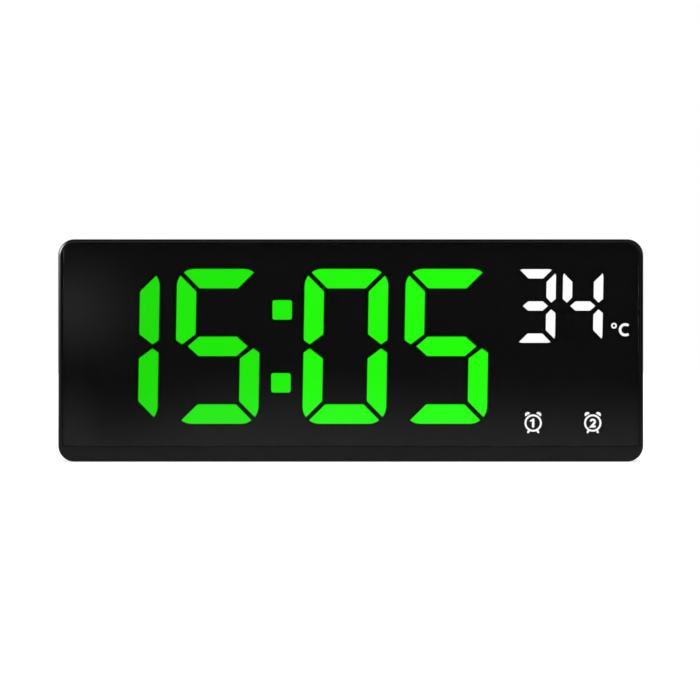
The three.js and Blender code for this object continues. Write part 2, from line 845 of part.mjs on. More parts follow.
function tactSwitch(x) {
  const half = switchSide / 2;
  const wellFloor = switchBack - plungerSink - plungerTravel - switchWellClearance;
  return cut(box(x - half, x + half, buttonBoardBack, switchBack, buttonZ - half, buttonZ + half), [
    rod(x, buttonZ, plungerDiameter + 2 * switchWellClearance, wellFloor, switchBack + over),
  ]);
}

function buttonBoard() {
  const half = buttonBoardWidth / 2;
  const low = buttonZ - buttonBoardHeight / 2;
  const plate = slab(
    roundedRect(-half, low, half, low + buttonBoardHeight, buttonBoardCorner, buttonBoardCorner, 2),
    buttonBoardFront, buttonBoardBack,
  );
  return cut(plate, [-1, 1].map((side) => rod(
    side * buttonBoardScrewX, buttonZ, boardScrew.hole,
    buttonBoardFront - over, buttonBoardBack + over, holeSides,
  )));
}

function powerSocket() {
  const w = socketWidth / 2;
  const h = socketHeight / 2;
  const back = buttonBoardBack + socketLength;
  const floor = buttonBoardBack + socketLength / 4;
  const outline = (inset) => roundedRect(
    socketX - w + inset, buttonZ - h + inset, socketX + w - inset, buttonZ + h - inset,
    socketNarrowRadius - inset / 4, socketWideRadius - inset / 2, 2,
  );
  const shell = slab(outline(0), buttonBoardBack, back);
  const mouth = slab(outline(socketWall), floor, back + over);
  const tongue = box(
    socketX - tongueWidth / 2, socketX + tongueWidth / 2, floor - weld, back - tongueRecess,
    buttonZ - tongueThickness / 2, buttonZ + tongueThickness / 2,
  );
  return shell.subtract(mouth).add(tongue);
}

function thermistor() {
  const radius = beadDiameter / 2;
  const centre = buttonBoardBack + beadStandoff;
  const bead = new THREE.SphereGeometry(radius, 8, 6);
  bead.translate(thermistorX, faceY + centre, buttonZ);
  const leads = [-1, 1].map((side) => rod(
    thermistorX + side * radius / 2, buttonZ, beadLead, buttonBoardBack, centre, 6,
  ));
  return join([solid(bead), ...leads]);
}

// A flat ribbon that leaves the main board, turns up behind it and meets the button board
function ribbonCable() {
  const top = buttonZ - buttonBoardHeight / 4;
  const bottom = top - ribbonDrop;
  const from = boardBack + solderGap;
  const to = buttonBoardFront - solderGap;
  const middle = (from + to) / 2;
  const bend = (to - from) / 2 - ribbonThickness / 2;
  const outer = bend + ribbonThickness / 2;
  const inner = bend - ribbonThickness / 2;
  const leftWall = middle - ribbonThickness / 2;
  const rightWall = middle + ribbonThickness / 2;
  const outline = new THREE.Shape([
    new THREE.Vector2(from, bottom), ...arc(rightWall - outer, bottom + outer, outer, 270, 360, 4),
    ...arc(rightWall + inner, top - outer, inner, 180, 90, 4),
    new THREE.Vector2(to, top - outer + inner), new THREE.Vector2(to, top),
    ...arc(leftWall + outer, top - outer, outer, 90, 180, 4),
    ...arc(leftWall - inner, bottom + outer, inner, 0, -90, 4),
    new THREE.Vector2(from, bottom + ribbonThickness),
  ]);
  const geometry = new THREE.ExtrudeGeometry(outline, { depth: ribbonWidth, bevelEnabled: false });
  geometry.applyMatrix4(new THREE.Matrix4().makeBasis(
    new THREE.Vector3(0, 1, 0), new THREE.Vector3(0, 0, 1), new THREE.Vector3(1, 0, 0),
  ));
  geometry.translate(ribbonX - ribbonWidth / 2, faceY, 0);
  return solid(geometry);
}

function cellHeight(index) {
  return bayRise + cellGap + cellDiameter / 2 + index * (cellDiameter + cellGap);
}

// The cells lie head to tail: the first and third point left, the second right
function cellFacing(index) {
  return index % 2 === 0 ? -1 : 1;
}

function cell(index) {
  const radius = cellDiameter / 2;
  const nub = nubDiameter / 2;
  const shoulder = cellLength - nubLength;
  const profile = [
    [0, 0], [radius - cellEdge, 0], [radius, cellEdge], [radius, shoulder - cellEdge],
    [radius - cellEdge, shoulder], [nub, shoulder], [nub, cellLength - nubEdge],
    [nub - nubEdge, cellLength], [0, cellLength],
  ];
  const points = profile.map(([x, y]) => new THREE.Vector2(x, y));
  const geometry = new THREE.LatheGeometry(points, 16);
  const facing = cellFacing(index);
  const start = facing * (bayHalf - contactThickness - contactGap - cellLength);
  geometry.rotateZ(-facing * Math.PI / 2);
  geometry.translate(start, faceY + cellAxisDepth, cellHeight(index));
  return solid(geometry);
}

// A tube of round section along a list of points; outward is the side that each section starts from
function tube(points, outward, radius, sides) {
  const positions = [];
  const faces = [];
  points.forEach((point, i) => {
    const before = points[Math.max(i - 1, 0)];
    const after = points[Math.min(i + 1, points.length - 1)];
    const along = after.clone().sub(before).normalize();
    const across = along.clone().cross(outward[i]).normalize();
    const out = across.clone().cross(along);
    for (let j = 0; j < sides; j += 1) {
      const angle = 2 * Math.PI * j / sides;
      const rim = point.clone().addScaledVector(out, radius * Math.cos(angle))
        .addScaledVector(across, radius * Math.sin(angle));
      positions.push(rim.x, rim.y, rim.z);
      if (i > 0) {
        const next = (j + 1) % sides;
        const here = i * sides;
        const back = here - sides;
        faces.push(back + j, back + next, here + j, here + j, back + next, here + next);
      }
    }
  });
  const last = (points.length - 1) * sides;
  for (let j = 1; j < sides - 1; j += 1) {
    faces.push(0, j + 1, j, last, last + j, last + j + 1);
  }
  const geometry = new THREE.BufferGeometry();
  geometry.setAttribute('position', new THREE.Float32BufferAttribute(positions, 3));
  geometry.setIndex(faces);
  return solid(geometry);
}

// A conical battery spring that grows from its plate towards the cell; side 1 sits at the right end
function coilPoints(side, z) {
  const steps = Math.round(springTurns * coilSteps);
  const base = side * (bayHalf - contactThickness);
  const rise = springLength - springWire / 2;
  const points = [];
  const outward = [];
  for (let i = 0; i <= steps; i += 1) {
    const angle = 2 * Math.PI * i / coilSteps;
    const share = i / steps;
    const radius = springBaseRadius + (springTipRadius - springBaseRadius) * share;
    const out = new THREE.Vector3(0, Math.cos(angle), Math.sin(angle));
    outward.push(out);
    points.push(out.clone().multiplyScalar(radius)
      .add(new THREE.Vector3(base - side * rise * share, faceY + cellAxisDepth, z)));
  }
  return { points, outward };
}

// The least gap between two stretches of one coil that lie more than half a turn apart
function coilGap(points) {
  let least = Infinity;
  points.forEach((a, i) => points.slice(i + coilSteps / 2 + 1).forEach((b) => {
    least = Math.min(least, a.distanceTo(b) - springWire);
  }));
  return least;
}

function spring(side, z) {
  const { points, outward } = coilPoints(side, z);
  return tube(points, outward, springWire / 2, 5);
}

function contactPlate(side, lowest, highest) {
  const outer = side * bayHalf;
  const inner = side * (bayHalf - contactThickness);
  const half = contactWidth / 2;
  return box(
    Math.min(outer, inner), Math.max(outer, inner), cellAxisDepth - half, cellAxisDepth + half,
    cellHeight(lowest) - half, cellHeight(highest) + half,
  );
}

const tailFront = cellAxisDepth - contactWidth / 2;
const tailEnd = bayHalf + bayWall + tailReach;

function tailBox(side, index, clearance) {
  const inner = bayHalf - contactThickness;
  const z = cellHeight(index);
  const half = tailWidth / 2 + clearance;
  const ends = [side * (clearance > 0 ? bayHalf - weld : inner), side * tailEnd];
  return box(
    Math.min(...ends), Math.max(...ends), tailFront - clearance,
    tailFront + contactThickness + clearance, z - half, z + half,
  );
}

const negativeCell = cellCount - 1;

function positiveContact() {
  return contactPlate(-1, 0, 0).add(tailBox(-1, 0, 0));
}

function negativeContact() {
  return join([
    contactPlate(1, negativeCell, negativeCell), tailBox(1, negativeCell, 0),
    spring(1, cellHeight(negativeCell)),
  ]);
}

// A bridge joins a cell's spring end to the next cell's nub end
function bridgeContact(index) {
  const side = -cellFacing(index);
  return contactPlate(side, index, index + 1).add(spring(side, cellHeight(index)));
}

// A lead from a contact's tail, bending forward to the main board
function lead(side, index) {
  const z = cellHeight(index);
  const depth = tailFront + contactThickness / 2;
  const start = side * (tailEnd + solderGap);
  const end = side * (tailEnd + leadReach);
  const at = (x, d) => new THREE.Vector3(x, faceY + d, z);
  const path = new THREE.CatmullRomCurve3([
    at(start, depth), at((start + end) / 2, depth), at(end, (depth + boardBack) / 2),
    at(end, boardBack + solderGap),
  ]);
  const section = new THREE.Shape(arc(0, 0, leadDiameter / 2, 0, 300, 5));
  return solid(new THREE.ExtrudeGeometry(section, { steps: 9, bevelEnabled: false, extrudePath: path }));
}

const doorHalf = bayHalf + doorLap;
const doorBottom = bayRise - doorLap;
const doorTop = bayTop + doorLap;
const doorFront = caseDepth - doorThickness;
const ledgeBack = doorFront - doorClearance / 3;

function doorTab(side, clearance) {
  const x = side * doorTabOffset;
  const half = doorTabWidth / 2 + clearance;
  const back = backInside - doorClearance;
  const front = back - doorTabThickness;
  return {
    hook: box(x - half, x + half, front, back, doorBottom - doorTabDrop, bayRise),
    shank: box(x - half, x + half, front, doorFront + weld, doorBottom + doorClearance, bayRise),
    notch: box(x - half, x + half, front - over, doorFront + over, doorBottom, bayRise + over),
  };
}

function batteryDoor() {
  const plate = slab(
    roundedRect(-doorHalf, doorBottom, doorHalf, doorTop, doorCornerRadius), doorFront, caseDepth,
  );
  const tabs = [-1, 1].map((side) => doorTab(side, 0)).flatMap(({ hook, shank }) => [hook, shank]);
  const ridgeHalf = latchWidth / 2 - latchSlot;
  const ridge = box(
    -ridgeHalf, ridgeHalf, doorFront - latchRidge, doorFront + weld,
    bayTop - latchRidge - doorClearance, bayTop - doorClearance,
  );
  const slots = [-1, 1].map((side) => box(
    side * latchWidth / 2 - latchSlot / 2, side * latchWidth / 2 + latchSlot / 2,
    doorFront - over, caseDepth + over, doorTop - latchLength, doorTop + over,
  ));
  return cut(join([plate, ...tabs, ridge]), slots);
}

function soundHoles() {
  const [x, z] = buzzerPlace;
  const outer = arc(x, z, soundHolePitch, 0, 300, 5);
  return [new THREE.Vector2(x, z), ...outer].map(
    (place) => rod(place.x, place.y, soundHoleDiameter, backInside - over, caseDepth + over, 10),
  );
}

function vents() {
  return Array.from({ length: ventCount }, (_, i) => {
    const z = buttonZ + (i - (ventCount - 1) / 2) * ventPitch;
    return slab(capsule(thermistorX, z, ventLength, ventWidth), backInside - over, caseDepth + over);
  });
}

// The tongue inside the rear cover that steps into the front frame
function lipStrips() {
  const outerX = caseWidth / 2 - caseWall - lipClearance;
  const low = caseWall + lipClearance;
  const high = caseHeight - caseWall - lipClearance;
  const from = splitDepth - lipLength;
  const to = splitDepth + lipLength;
  const reach = boardScrewX - boardEarWidth;
  const wallOverlap = lipClearance + weld;
  const strips = [
    [-reach, reach, low, low + lipThickness], [-reach, reach, high - lipThickness, high],
  ];
  const sideLow = screwBottom + rearBossDiameter;
  const sideHigh = screwTop - rearBossDiameter;
  strips.push([-outerX, -outerX + lipThickness, sideLow, sideHigh]);
  strips.push([outerX - lipThickness, outerX, sideLow, sideHigh]);
  const lips = strips.map(([left, right, bottom, top]) => box(left, right, from, to, bottom, top));
  const roots = [
    box(-reach, reach, splitDepth + lipClearance, to, low - wallOverlap, low + weld),
    box(-reach, reach, splitDepth + lipClearance, to, high - weld, high + wallOverlap),
    box(-outerX - wallOverlap, -outerX + weld, splitDepth + lipClearance, to, sideLow, sideHigh),
    box(outerX - weld, outerX + wallOverlap, splitDepth + lipClearance, to, sideLow, sideHigh),
  ];
  return [...lips, ...roots];
}

function rearCover() {
  const shell = cut(
    roundedSlab(caseOutline(0), splitDepth, caseDepth, backEdgeRadius, 'back'),
    [slab(caseOutline(caseWall), splitDepth - over, backInside)],
  );
  const bay = box(
    -bayHalf - bayWall, bayHalf + bayWall, bayFloorFront, backInside + weld,
    bayRise - bayWall, bayTop + bayWall,
  );
  const bosses = casePlaces.flatMap(([x, z]) => [
    rod(x, z, rearBossDiameter, splitDepth + bossGap, backInside + weld),
    web(x, z, rearBossDiameter, splitDepth + bossGap, backInside + weld),
  ]);
  const boardBosses = [-1, 1].map((side) => rod(
    side * buttonBoardScrewX, buttonZ, buttonBoardBoss, buttonBoardBack, backInside + weld,
  ));
  const whole = join([shell, bay, ...bosses, ...boardBosses, ...lipStrips()]);
  const outside = caseDepth + over;
  const gap = doorClearance;
  const trimmed = whole.intersect(
    slab(caseOutline(0), bayFloorFront - over, outside),
  );
  return cut(trimmed, [
    box(-bayHalf, bayHalf, bayFloorBack, outside, bayRise, bayTop),
    slab(roundedRect(
      -doorHalf - gap, doorBottom - gap, doorHalf + gap, doorTop + gap, doorCornerRadius + gap,
    ), ledgeBack, outside),
    ...[-1, 1].map((side) => doorTab(side, gap * 2).notch),
    rod(0, doorTop, 2 * thumbRecessRadius, caseDepth - thumbRecessDepth, outside, 24),
    tailBox(-1, 0, gap), tailBox(1, negativeCell, gap),
    ...casePlaces.map(([x, z]) => rod(x, z, caseScrew.hole, splitDepth - over, outside, holeSides)),
    ...casePlaces.map(([x, z]) => rod(x, z, counterboreDiameter, screwSeatDepth, outside)),
    ...[-1, 1].map((side) => rod(
      side * buttonBoardScrewX, buttonZ, boardScrew.pilot, buttonBoardBack - over,
      buttonBoardFront + boardScrew.length + pilotRunout, holeSides,
    )),
    ...buttonPlaces.map((x) => slab(capsule(
      x, buttonZ, buttonLength + 2 * buttonClearance, buttonHeight + 2 * buttonClearance,
    ), backInside - over, outside)),
    box(
      socketX - socketWidth / 2 - socketClearance, socketX + socketWidth / 2 + socketClearance,
      backInside - over, outside,
      buttonZ - socketHeight / 2 - socketClearance, buttonZ + socketHeight / 2 + socketClearance,
    ),
    ...soundHoles(), ...vents(),
  ]);
}

const gapText = coilGap(coilPoints(1, 0).points).toFixed(2);
console.log(`battery springs: least gap of a coil to itself ${gapText} mm`);

addPart('front_frame', frontFrame(), finishes.caseGloss);
addPart('front_lens', frontLens(), finishes.smokedLens);
addPart('display_mask', displayMask(), finishes.maskInk);
addPart('time_diffuser', timeDiffuser(), finishes.greenLight);
addPart('temperature_diffuser', temperatureDiffuser(), finishes.whiteLight);
addPart('alarm_sign_diffuser', signDiffuser(), finishes.whiteLight);
addPart('light_box', lightBox(), finishes.lightBox);
addPart('main_board', mainBoard(), finishes.board);
boardPlaces.forEach(([x, z], i) => addPart(
  `main_board_screw_${i + 1}`, screwSolid(x, z, boardBack, boardScrew, 1), finishes.steel,
));
addPart('microcontroller', controller(), finishes.epoxy);
addPart('crystal', crystal(), finishes.can);
addPart('capacitor', capacitor(), finishes.can);
addPart('buzzer', buzzer(), finishes.epoxy);
addPart('ribbon_cable', ribbonCable(), finishes.ribbon);
addPart('button_board', buttonBoard(), finishes.board);
[-1, 1].forEach((side, i) => addPart(
  `button_board_screw_${i + 1}`,
  screwSolid(side * buttonBoardScrewX, buttonZ, buttonBoardFront, boardScrew, -1), finishes.steel,
));
addPart('power_socket', powerSocket(), finishes.steel);
addPart('thermistor', thermistor(), finishes.bead);
buttonPlaces.forEach((x, i) => {
  addPart(`switch_${i + 1}`, tactSwitch(x), finishes.switchBase);
  addPart(`switch_plunger_${i + 1}`, plunger(x), finishes.plunger);
});
['button_alarm', 'button_down', 'button_up', 'button_set'].forEach((name, i) => {
  addPart(name, button(buttonPlaces[i]), finishes.caseSatin);
});
addPart('rear_cover', rearCover(), finishes.caseSatin);
casePlaces.forEach(([x, z], i) => addPart(
  `case_screw_${i + 1}`, screwSolid(x, z, screwSeatDepth, caseScrew, 1), finishes.zincedSteel,
));
addPart('battery_door', batteryDoor(), finishes.caseSatin);
Array.from({ length: cellCount }, (_, i) => addPart(
  `battery_cell_${i + 1}`, cell(i), finishes.cellJacket,
));
addPart('contact_positive', positiveContact(), finishes.steel);
addPart('contact_negative', negativeContact(), finishes.steel);
Array.from({ length: cellCount - 1 }, (_, i) => addPart(
  `contact_bridge_${i + 1}`, bridgeContact(i), finishes.steel,
));
addPart('battery_lead_red', lead(-1, 0), finishes.redLead);
addPart('battery_lead_black', lead(1, negativeCell), finishes.blackLead);

export default clock;
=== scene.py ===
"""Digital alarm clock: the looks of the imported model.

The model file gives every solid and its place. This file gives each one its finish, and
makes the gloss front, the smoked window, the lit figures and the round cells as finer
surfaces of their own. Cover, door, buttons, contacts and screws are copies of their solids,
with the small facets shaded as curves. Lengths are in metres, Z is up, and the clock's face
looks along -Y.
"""

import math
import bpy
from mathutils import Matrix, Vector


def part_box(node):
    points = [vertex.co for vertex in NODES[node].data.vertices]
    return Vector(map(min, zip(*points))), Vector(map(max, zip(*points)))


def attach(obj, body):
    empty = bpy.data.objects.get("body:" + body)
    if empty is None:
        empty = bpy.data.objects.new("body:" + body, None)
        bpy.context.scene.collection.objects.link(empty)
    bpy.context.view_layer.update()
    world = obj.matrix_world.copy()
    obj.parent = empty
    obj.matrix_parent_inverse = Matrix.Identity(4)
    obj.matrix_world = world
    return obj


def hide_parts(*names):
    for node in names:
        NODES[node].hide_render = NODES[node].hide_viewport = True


bl_info = {
    "name": "Digital Alarm Clock",
    "version": (1, 0, 0),
    "blender": (4, 5, 0),
    "location": "View3D > Sidebar > Clock",
    "description": "Finishes, lit figures and studio of a digital alarm clock",
    "category": "Object",
}

import bpy
import numpy as np

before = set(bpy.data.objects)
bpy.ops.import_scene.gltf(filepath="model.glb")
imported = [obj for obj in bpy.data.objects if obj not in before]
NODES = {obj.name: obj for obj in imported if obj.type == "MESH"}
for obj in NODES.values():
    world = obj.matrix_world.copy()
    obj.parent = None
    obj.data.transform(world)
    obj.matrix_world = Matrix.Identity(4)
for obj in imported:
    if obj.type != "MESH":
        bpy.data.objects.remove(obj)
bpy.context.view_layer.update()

CASE_LOW, CASE_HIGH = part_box("front_frame")
LENS_LOW, LENS_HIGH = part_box("front_lens")
MASK_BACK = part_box("display_mask")[1].y

BODY = "clock_body"
MM = 0.001
ARC_STEPS = 16
HOOP_STEPS = 64
SHARP_ANGLE = 32

# How much each face of the window covers, and what passes through both.
WINDOW_ALPHA = 0.26
WINDOW_PASSES = (1 - WINDOW_ALPHA) ** 2

# Front and back of the films of the figures and of the signs, behind the clock's face.
FIGURE_DEPTHS = (1.48 * MM, 1.85 * MM)
SIGN_DEPTHS = (1.5 * MM, 1.85 * MM)

# The width that the photograph shows in the plane of the face, and its middle, x and z.
PHOTO_WIDTH = 0.1913
PHOTO_MIDDLE = (-0.0002, 0.03057)

# Soft boxes round the clock: place, width, height and radiance.
CLOCK_MIDDLE = (0.0, 0.0, 0.03)
SOFT_BOXES = {
    "soft box above": ((0.0, -1.15, 0.95), 1.4, 0.8, 1.4),
    "soft box left": ((-0.5, -1.6, 1.1), 0.9, 0.9, 0.8),
    "soft box right": ((0.85, -2.1, 0.4), 0.5, 0.8, 2.0),
}

# The dark cloth, whose glow is painted and which only the gloss sees: where it starts and
# how far it reaches, its turn and rise in degrees, and the middle and radii, x and z, of its
# pale patch of painted glow. Its ramps have stops of a place and a level: tone by distance,
# how much faster that falls from left to right as painted shade, and pale band by height.
CLOTH_START, CLOTH_REACH = 0.2, 6.0
CLOTH_TURN, CLOTH_RISE = (-205, 25), 125
PATCH_MIDDLE, PATCH_RADII = (-0.36, 0.085), (0.075, 0.06)
CLOTH_TONES = (
    (0.0, 1.0), (0.04, 1.0), (0.12, 0.74), (0.24, 0.5), (0.33, 0.35), (0.46, 0.2),
    (0.66, 0.14), (1.0, 0.0),
)
CLOTH_SIDE_SHADE = (
    (0.0, 0.0), (0.05, 0.15), (0.075, 0.7), (0.126, 0.75), (0.184, 0.35), (0.266, 0.0),
    (0.45, 0.0), (0.66, 0.15), (0.96, 0.3), (1.0, 0.3),
)
CLOTH_BAND = ((0.0, 0.0), (0.05, 0.0), (0.1, 1.0), (0.36, 1.0), (0.44, 0.0), (1.0, 0.0))

# The glowing card, whose painted glow puts the highlight on the case's left edge: its
# cylinder's middle, x and y, radius and turn in degrees, its foot and top, and its tone by
# height.
CARD_MIDDLE, CARD_RADIUS, CARD_TURN = (-0.08, -0.013), 0.3, (177, 228)
CARD_FOOT, CARD_TOP = 0.002, 0.5
CARD_TONES = (
    (0.0, 0.03), (0.06, 0.053), (0.1, 0.09), (0.13, 0.18), (0.2, 0.67), (0.36, 1.0),
    (0.6, 0.5), (0.84, 0.1), (1.0, 0.02),
)


def linear(code):
    """Scene-linear red, green and blue of an sRGB hex colour."""
    parts = [int(code[i : i + 2], 16) / 255 for i in (1, 3, 5)]
    return tuple(p / 12.92 if p <= 0.04045 else ((p + 0.055) / 1.055) ** 2.4 for p in parts)


BLACK, WHITE = linear("#000000"), linear("#FFFFFF")


def number(name, description, default, low=0.0, high=1.0, **kind):
    """A number for a property group."""
    return bpy.props.FloatProperty(
        name=name, description=description, default=default, min=low, max=high,
        precision=5, **kind,
    )


def length(*words):
    """A size in metres for a property group."""
    return number(*words, subtype="DISTANCE", unit="LENGTH")


def tint(name, description, code):
    """A colour for a property group, given as sRGB hex."""
    return bpy.props.FloatVectorProperty(
        name=name, description=description, default=linear(code),
        min=0.0, max=1.0, size=3, subtype="COLOR",
    )


class ClockCaseSizes(bpy.types.PropertyGroup):
    """Sizes of the gloss front and the window."""

    corner_radius: length("Case corner", "Radius of the case's four corners", 0.00445)
    edge_radius: length("Front edge", "Radius along the front edge of the case", 0.0009)
    wall: length("Wall", "Thickness of the case's side walls", 0.0018)
    window_top_radius: length("Window top", "Corner radius at the window's top", 0.003)
    window_foot_radius: length("Window foot", "Corner radius at the window's foot", 0.001)
    window_gap: length("Window gap", "Gap between the window and the case", 0.00007)
    window_edge: length("Window edge", "Radius along the window's front edge", 0.00016)
    seat: length("Seat width", "Width of the ledge that carries the window", 0.0013)


class ClockFigureSizes(bpy.types.PropertyGroup):
    """Sizes of the seven-segment figures."""

    lean: number("Lean", "Sideways lean of the figures, per unit of height", 0.0172)
    time_height: length("Time height", "Height of a time digit", 0.0425)
    time_width: length("Time width", "Width of a time digit", 0.023)
    small_height: length("Small height", "Height of a temperature digit", 0.0204)
    small_width: length("Small width", "Width of a temperature digit", 0.01125)
    colon_size: length("Colon dot", "Side of a colon dot", 0.0056)
    colon_spread: length("Colon spread", "Distance between the colon's dots", 0.01995)
    mask_overlap: length("Mask overlap", "Rim of each green film under the mask", 0.00007)
    small_overlap: length("Small overlap", "Rim of each white film under it", 0.00013)


class ClockCellSizes(bpy.types.PropertyGroup):
    """Sizes of the round cells' ends."""

    rim: length("Rim", "Radius of the rolled rim at both ends", 0.0006)
    button_length: length("Button length", "How far the button stands out", 0.0012)
    button_radius: length("Button radius", "Radius of the button", 0.0019)


class ClockColours(bpy.types.PropertyGroup):
    """Colours of the finishes."""

    gloss_black: tint("Gloss black", "Polished front of the case", "#070708")
    satin_black: tint("Satin black", "Textured back, door and buttons", "#1C1C1E")
    smoke: tint("Smoke", "The window's tint", "#060606")
    green_light: tint("Green light", "Lit time figures", "#1EE407")
    white_light: tint("White light", "Lit temperature and signs", "#FFFFFF")
    board_green: tint("Board green", "Solder mask of the circuit boards", "#0E4A2A")
    steel: tint("Steel", "Plated screws and contacts", "#B9BBBD")


class ClockStageSizes(bpy.types.PropertyGroup):
    """The camera and the studio."""

    camera_distance: length("Camera distance", "From the face to the lens", 1.6, 0.3, 9)
    sensor: number("Sensor", "Width of the camera's sensor in millimetres", 36.0, 1.0, 100.0)
    floor_radius: length("Floor", "Radius of the pale floor", 6.0, 1.0, 40.0)


class ClockStageRoom(bpy.types.PropertyGroup):
    """How light the room is, and what the gloss mirrors."""

    room_light: number("Room light", "Even light from all round", 0.62, 0.0, 4.0)
    screen_tone: number("Screen tone", "How light the dark screen shows in gloss", 0.02)
    card_tone: number("Card tone", "How bright the card at the left is", 70.0, 0.0, 200.0)


def arc(x, z, radius, start, end, steps=ARC_STEPS):
    """Points on a circle: the centre plus radius times the cosine and sine of each angle."""
    angle = np.radians(np.linspace(start, end, steps + 1))
    return np.column_stack([x + radius * np.cos(angle), z + radius * np.sin(angle)])


def spoke(x, z, angle, *reaches):
    """Points on one line from a centre: the centre plus each reach along the angle."""
    angle = math.radians(angle)
    return np.add([x, z], np.outer(reaches, [math.cos(angle), math.sin(angle)]))


def rounded(left, foot, right, top, foot_radius, top_radius):
    """A rectangle with quarter circles for corners, counterclockwise from its left foot.

    Every such outline has the same number of points, so a surface can join any two.
    """
    return np.vstack([
        arc(left + foot_radius, foot + foot_radius, foot_radius, 180, 270),
        arc(right - foot_radius, foot + foot_radius, foot_radius, 270, 360),
        arc(right - top_radius, top - top_radius, top_radius, 0, 90),
        arc(left + top_radius, top - top_radius, top_radius, 90, 180),
    ])


def grid_faces(count, along, wrapped, turned):
    """Faces of a grid of rows of n points, where point k of row r is vertex r*n + k.

    Each face joins k and k+1 on rows r and r+1. A wrapped grid joins its last row to its
    first, and a turned one joins each row's last point to its first.
    """
    r = np.arange(count if wrapped else count - 1)[:, None]
    k = np.arange(along if turned else along - 1)[None, :]
    ahead, behind, beside = r * along, (r + 1) % count * along, (k + 1) % along
    faces = np.stack([ahead + k, behind + k, behind + beside, ahead + beside], -1)
    return faces.reshape(-1, 4).tolist()


def carried(rows, closed=False):
    """Vertices and faces of a surface through outlines of equal length.

    A closed profile joins its last row to its first, and an open one is shut with a face at
    each end.
    """
    count, around = len(rows), len(rows[0])
    faces = grid_faces(count, around, closed, True)
    if not closed:
        faces.append(list(range(around)))
        faces.append(list(range((count - 1) * around, count * around))[::-1])
    return np.vstack(rows), faces


def layered(levels, closed=False):
    """A surface through flat outlines, x and z, each at a depth behind the clock's face."""
    rows = []
    for outline, depth in levels:
        x, z = outline.T
        rows.append(np.column_stack([x, np.full(len(x), CASE_LOW.y + depth), z]))
    return carried(rows, closed)


def several(shapes):
    """One list of vertices and one of faces for several closed shapes."""
    points, faces, start = [], [], 0
    for shape_points, shape_faces in shapes:
        points.append(shape_points)
        faces += [[start + i for i in face] for face in shape_faces]
        start += len(shape_points)
    return np.vstack(points), faces


def winding(outline):
    """Twice an outline's area by the shoelace formula, above zero where counterclockwise."""
    x, z = outline.T
    return np.dot(x, np.roll(z, -1)) - np.dot(z, np.roll(x, -1))


def plate(outline, front, back):
    """A flat outline carried straight from one depth to another, counterclockwise or not."""
    outline = outline if winding(outline) > 0 else outline[::-1]
    return layered([(outline, front), (outline, back)])


def placed(name, data):
    """A new object of the scene, at the origin."""
    made = bpy.data.objects.new(name, data)
    bpy.context.scene.collection.objects.link(made)
    return made


def new_piece(name, shape, material, body=BODY):
    """A mesh piece in its place that rides a body; edges past the sharp angle stay crisp."""
    points, faces = shape
    mesh = bpy.data.meshes.new(name)
    mesh.from_pydata(points.tolist(), [], faces)
    mesh.polygons.foreach_set("use_smooth", np.ones(len(faces), bool))
    mesh.set_sharp_from_angle(angle=math.radians(SHARP_ANGLE))
    mesh.materials.append(material)
    mesh.validate()
    piece = placed(name, mesh)
    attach(piece, body)
    return piece


def joined(node):
    """Vertices and faces of a CAD solid, its loose triangles joined where corners meet.

    The solid itself is left alone. Corners at the same place, to a ten-thousandth of a
    millimetre, become one vertex, so that a finish can be shaded across them.
    """
    mesh = NODES[node].data
    places = np.empty(len(mesh.vertices) * 3)
    mesh.vertices.foreach_get("co", places)
    places = places.reshape(-1, 3)
    corners = np.empty(len(mesh.loops), int)
    mesh.loops.foreach_get("vertex_index", corners)
    _, first, which = np.unique(
        np.round(places / (0.0001 * MM)), axis=0, return_index=True, return_inverse=True,
    )
    return places[first], which.ravel()[corners].reshape(-1, 3).tolist()


def smooth_copy(node, name, material, body=BODY):
    """A copy of a CAD solid that stands for it, with its small facets shaded as curves.

    Weighted normals let the large flat faces keep their own shade beside the small ones.
    """
    piece = new_piece(name, joined(node), material, body)
    weighted = piece.modifiers.new("even shading", "WEIGHTED_NORMAL")
    weighted.keep_sharp = True
    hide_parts(node)


def dress(material, *nodes):
    """Gives CAD nodes a finish in place of their plain one."""
    for node in nodes:
        for slot in NODES[node].material_slots:
            slot.material = material


def toned(colour, share):
    """A colour with each of its parts times a share."""
    return tuple(part * share for part in colour)


def put_in(tree, node, inputs):
    """Fills a node's inputs, by number or by name, with links from sockets or plain values.

    Spaces in names are given as underscores, a node stands for its first output in use, and
    a colour of three parts gets its fourth.
    """
    for key, value in inputs.items():
        socket = node.inputs[key.replace("_", " ") if isinstance(key, str) else key]
        if isinstance(value, bpy.types.Node):
            value = next(output for output in value.outputs if output.enabled)
        if isinstance(value, bpy.types.NodeSocket):
            tree.links.new(value, socket)
        elif socket.type == "RGBA":
            socket.default_value = (*value, 1.0)
        else:
            socket.default_value = value


def node_adder(tree):
    """A function that adds a node to a tree."""

    def add(kind, settings=None, numbered=None, **named):
        """A node of a kind, by its name after ShaderNode, with its settings and inputs."""
        node = tree.nodes.new("ShaderNode" + kind)
        for key, value in (settings or {}).items():
            setattr(node, key, value)
        put_in(tree, node, {**(numbered or {}), **named})
        return node

    return add


def new_material(name):
    """A material, functions that add a node and feed its shader, and object coordinates."""
    material = bpy.data.materials.new(name)
    material.use_nodes = True
    tree = material.node_tree
    add = node_adder(tree)

    def feed(**inputs):
        put_in(tree, tree.nodes["Principled BSDF"], inputs)

    return material, add, feed, add("TexCoord").outputs["Object"]


def set_stops(node, stops):
    """Gives a ramp its stops in order: a place each and a colour, or a level of grey."""
    first, *between, last = (
        (place, (*tone, 1.0) if isinstance(tone, tuple) else (tone, tone, tone, 1.0))
        for place, tone in stops
    )
    elements = node.color_ramp.elements
    for element, (place, colour) in zip(elements, (first, last)):
        element.position, element.color = place, colour
    for place, colour in between:
        elements.new(place).color = colour
    return node


def case_outline(sizes, inset):
    """The case seen from the front, drawn in by a distance."""
    radius = sizes.corner_radius - inset
    return rounded(
        CASE_LOW.x + inset, CASE_LOW.z + inset, CASE_HIGH.x - inset, CASE_HIGH.z - inset,
        radius, radius,
    )


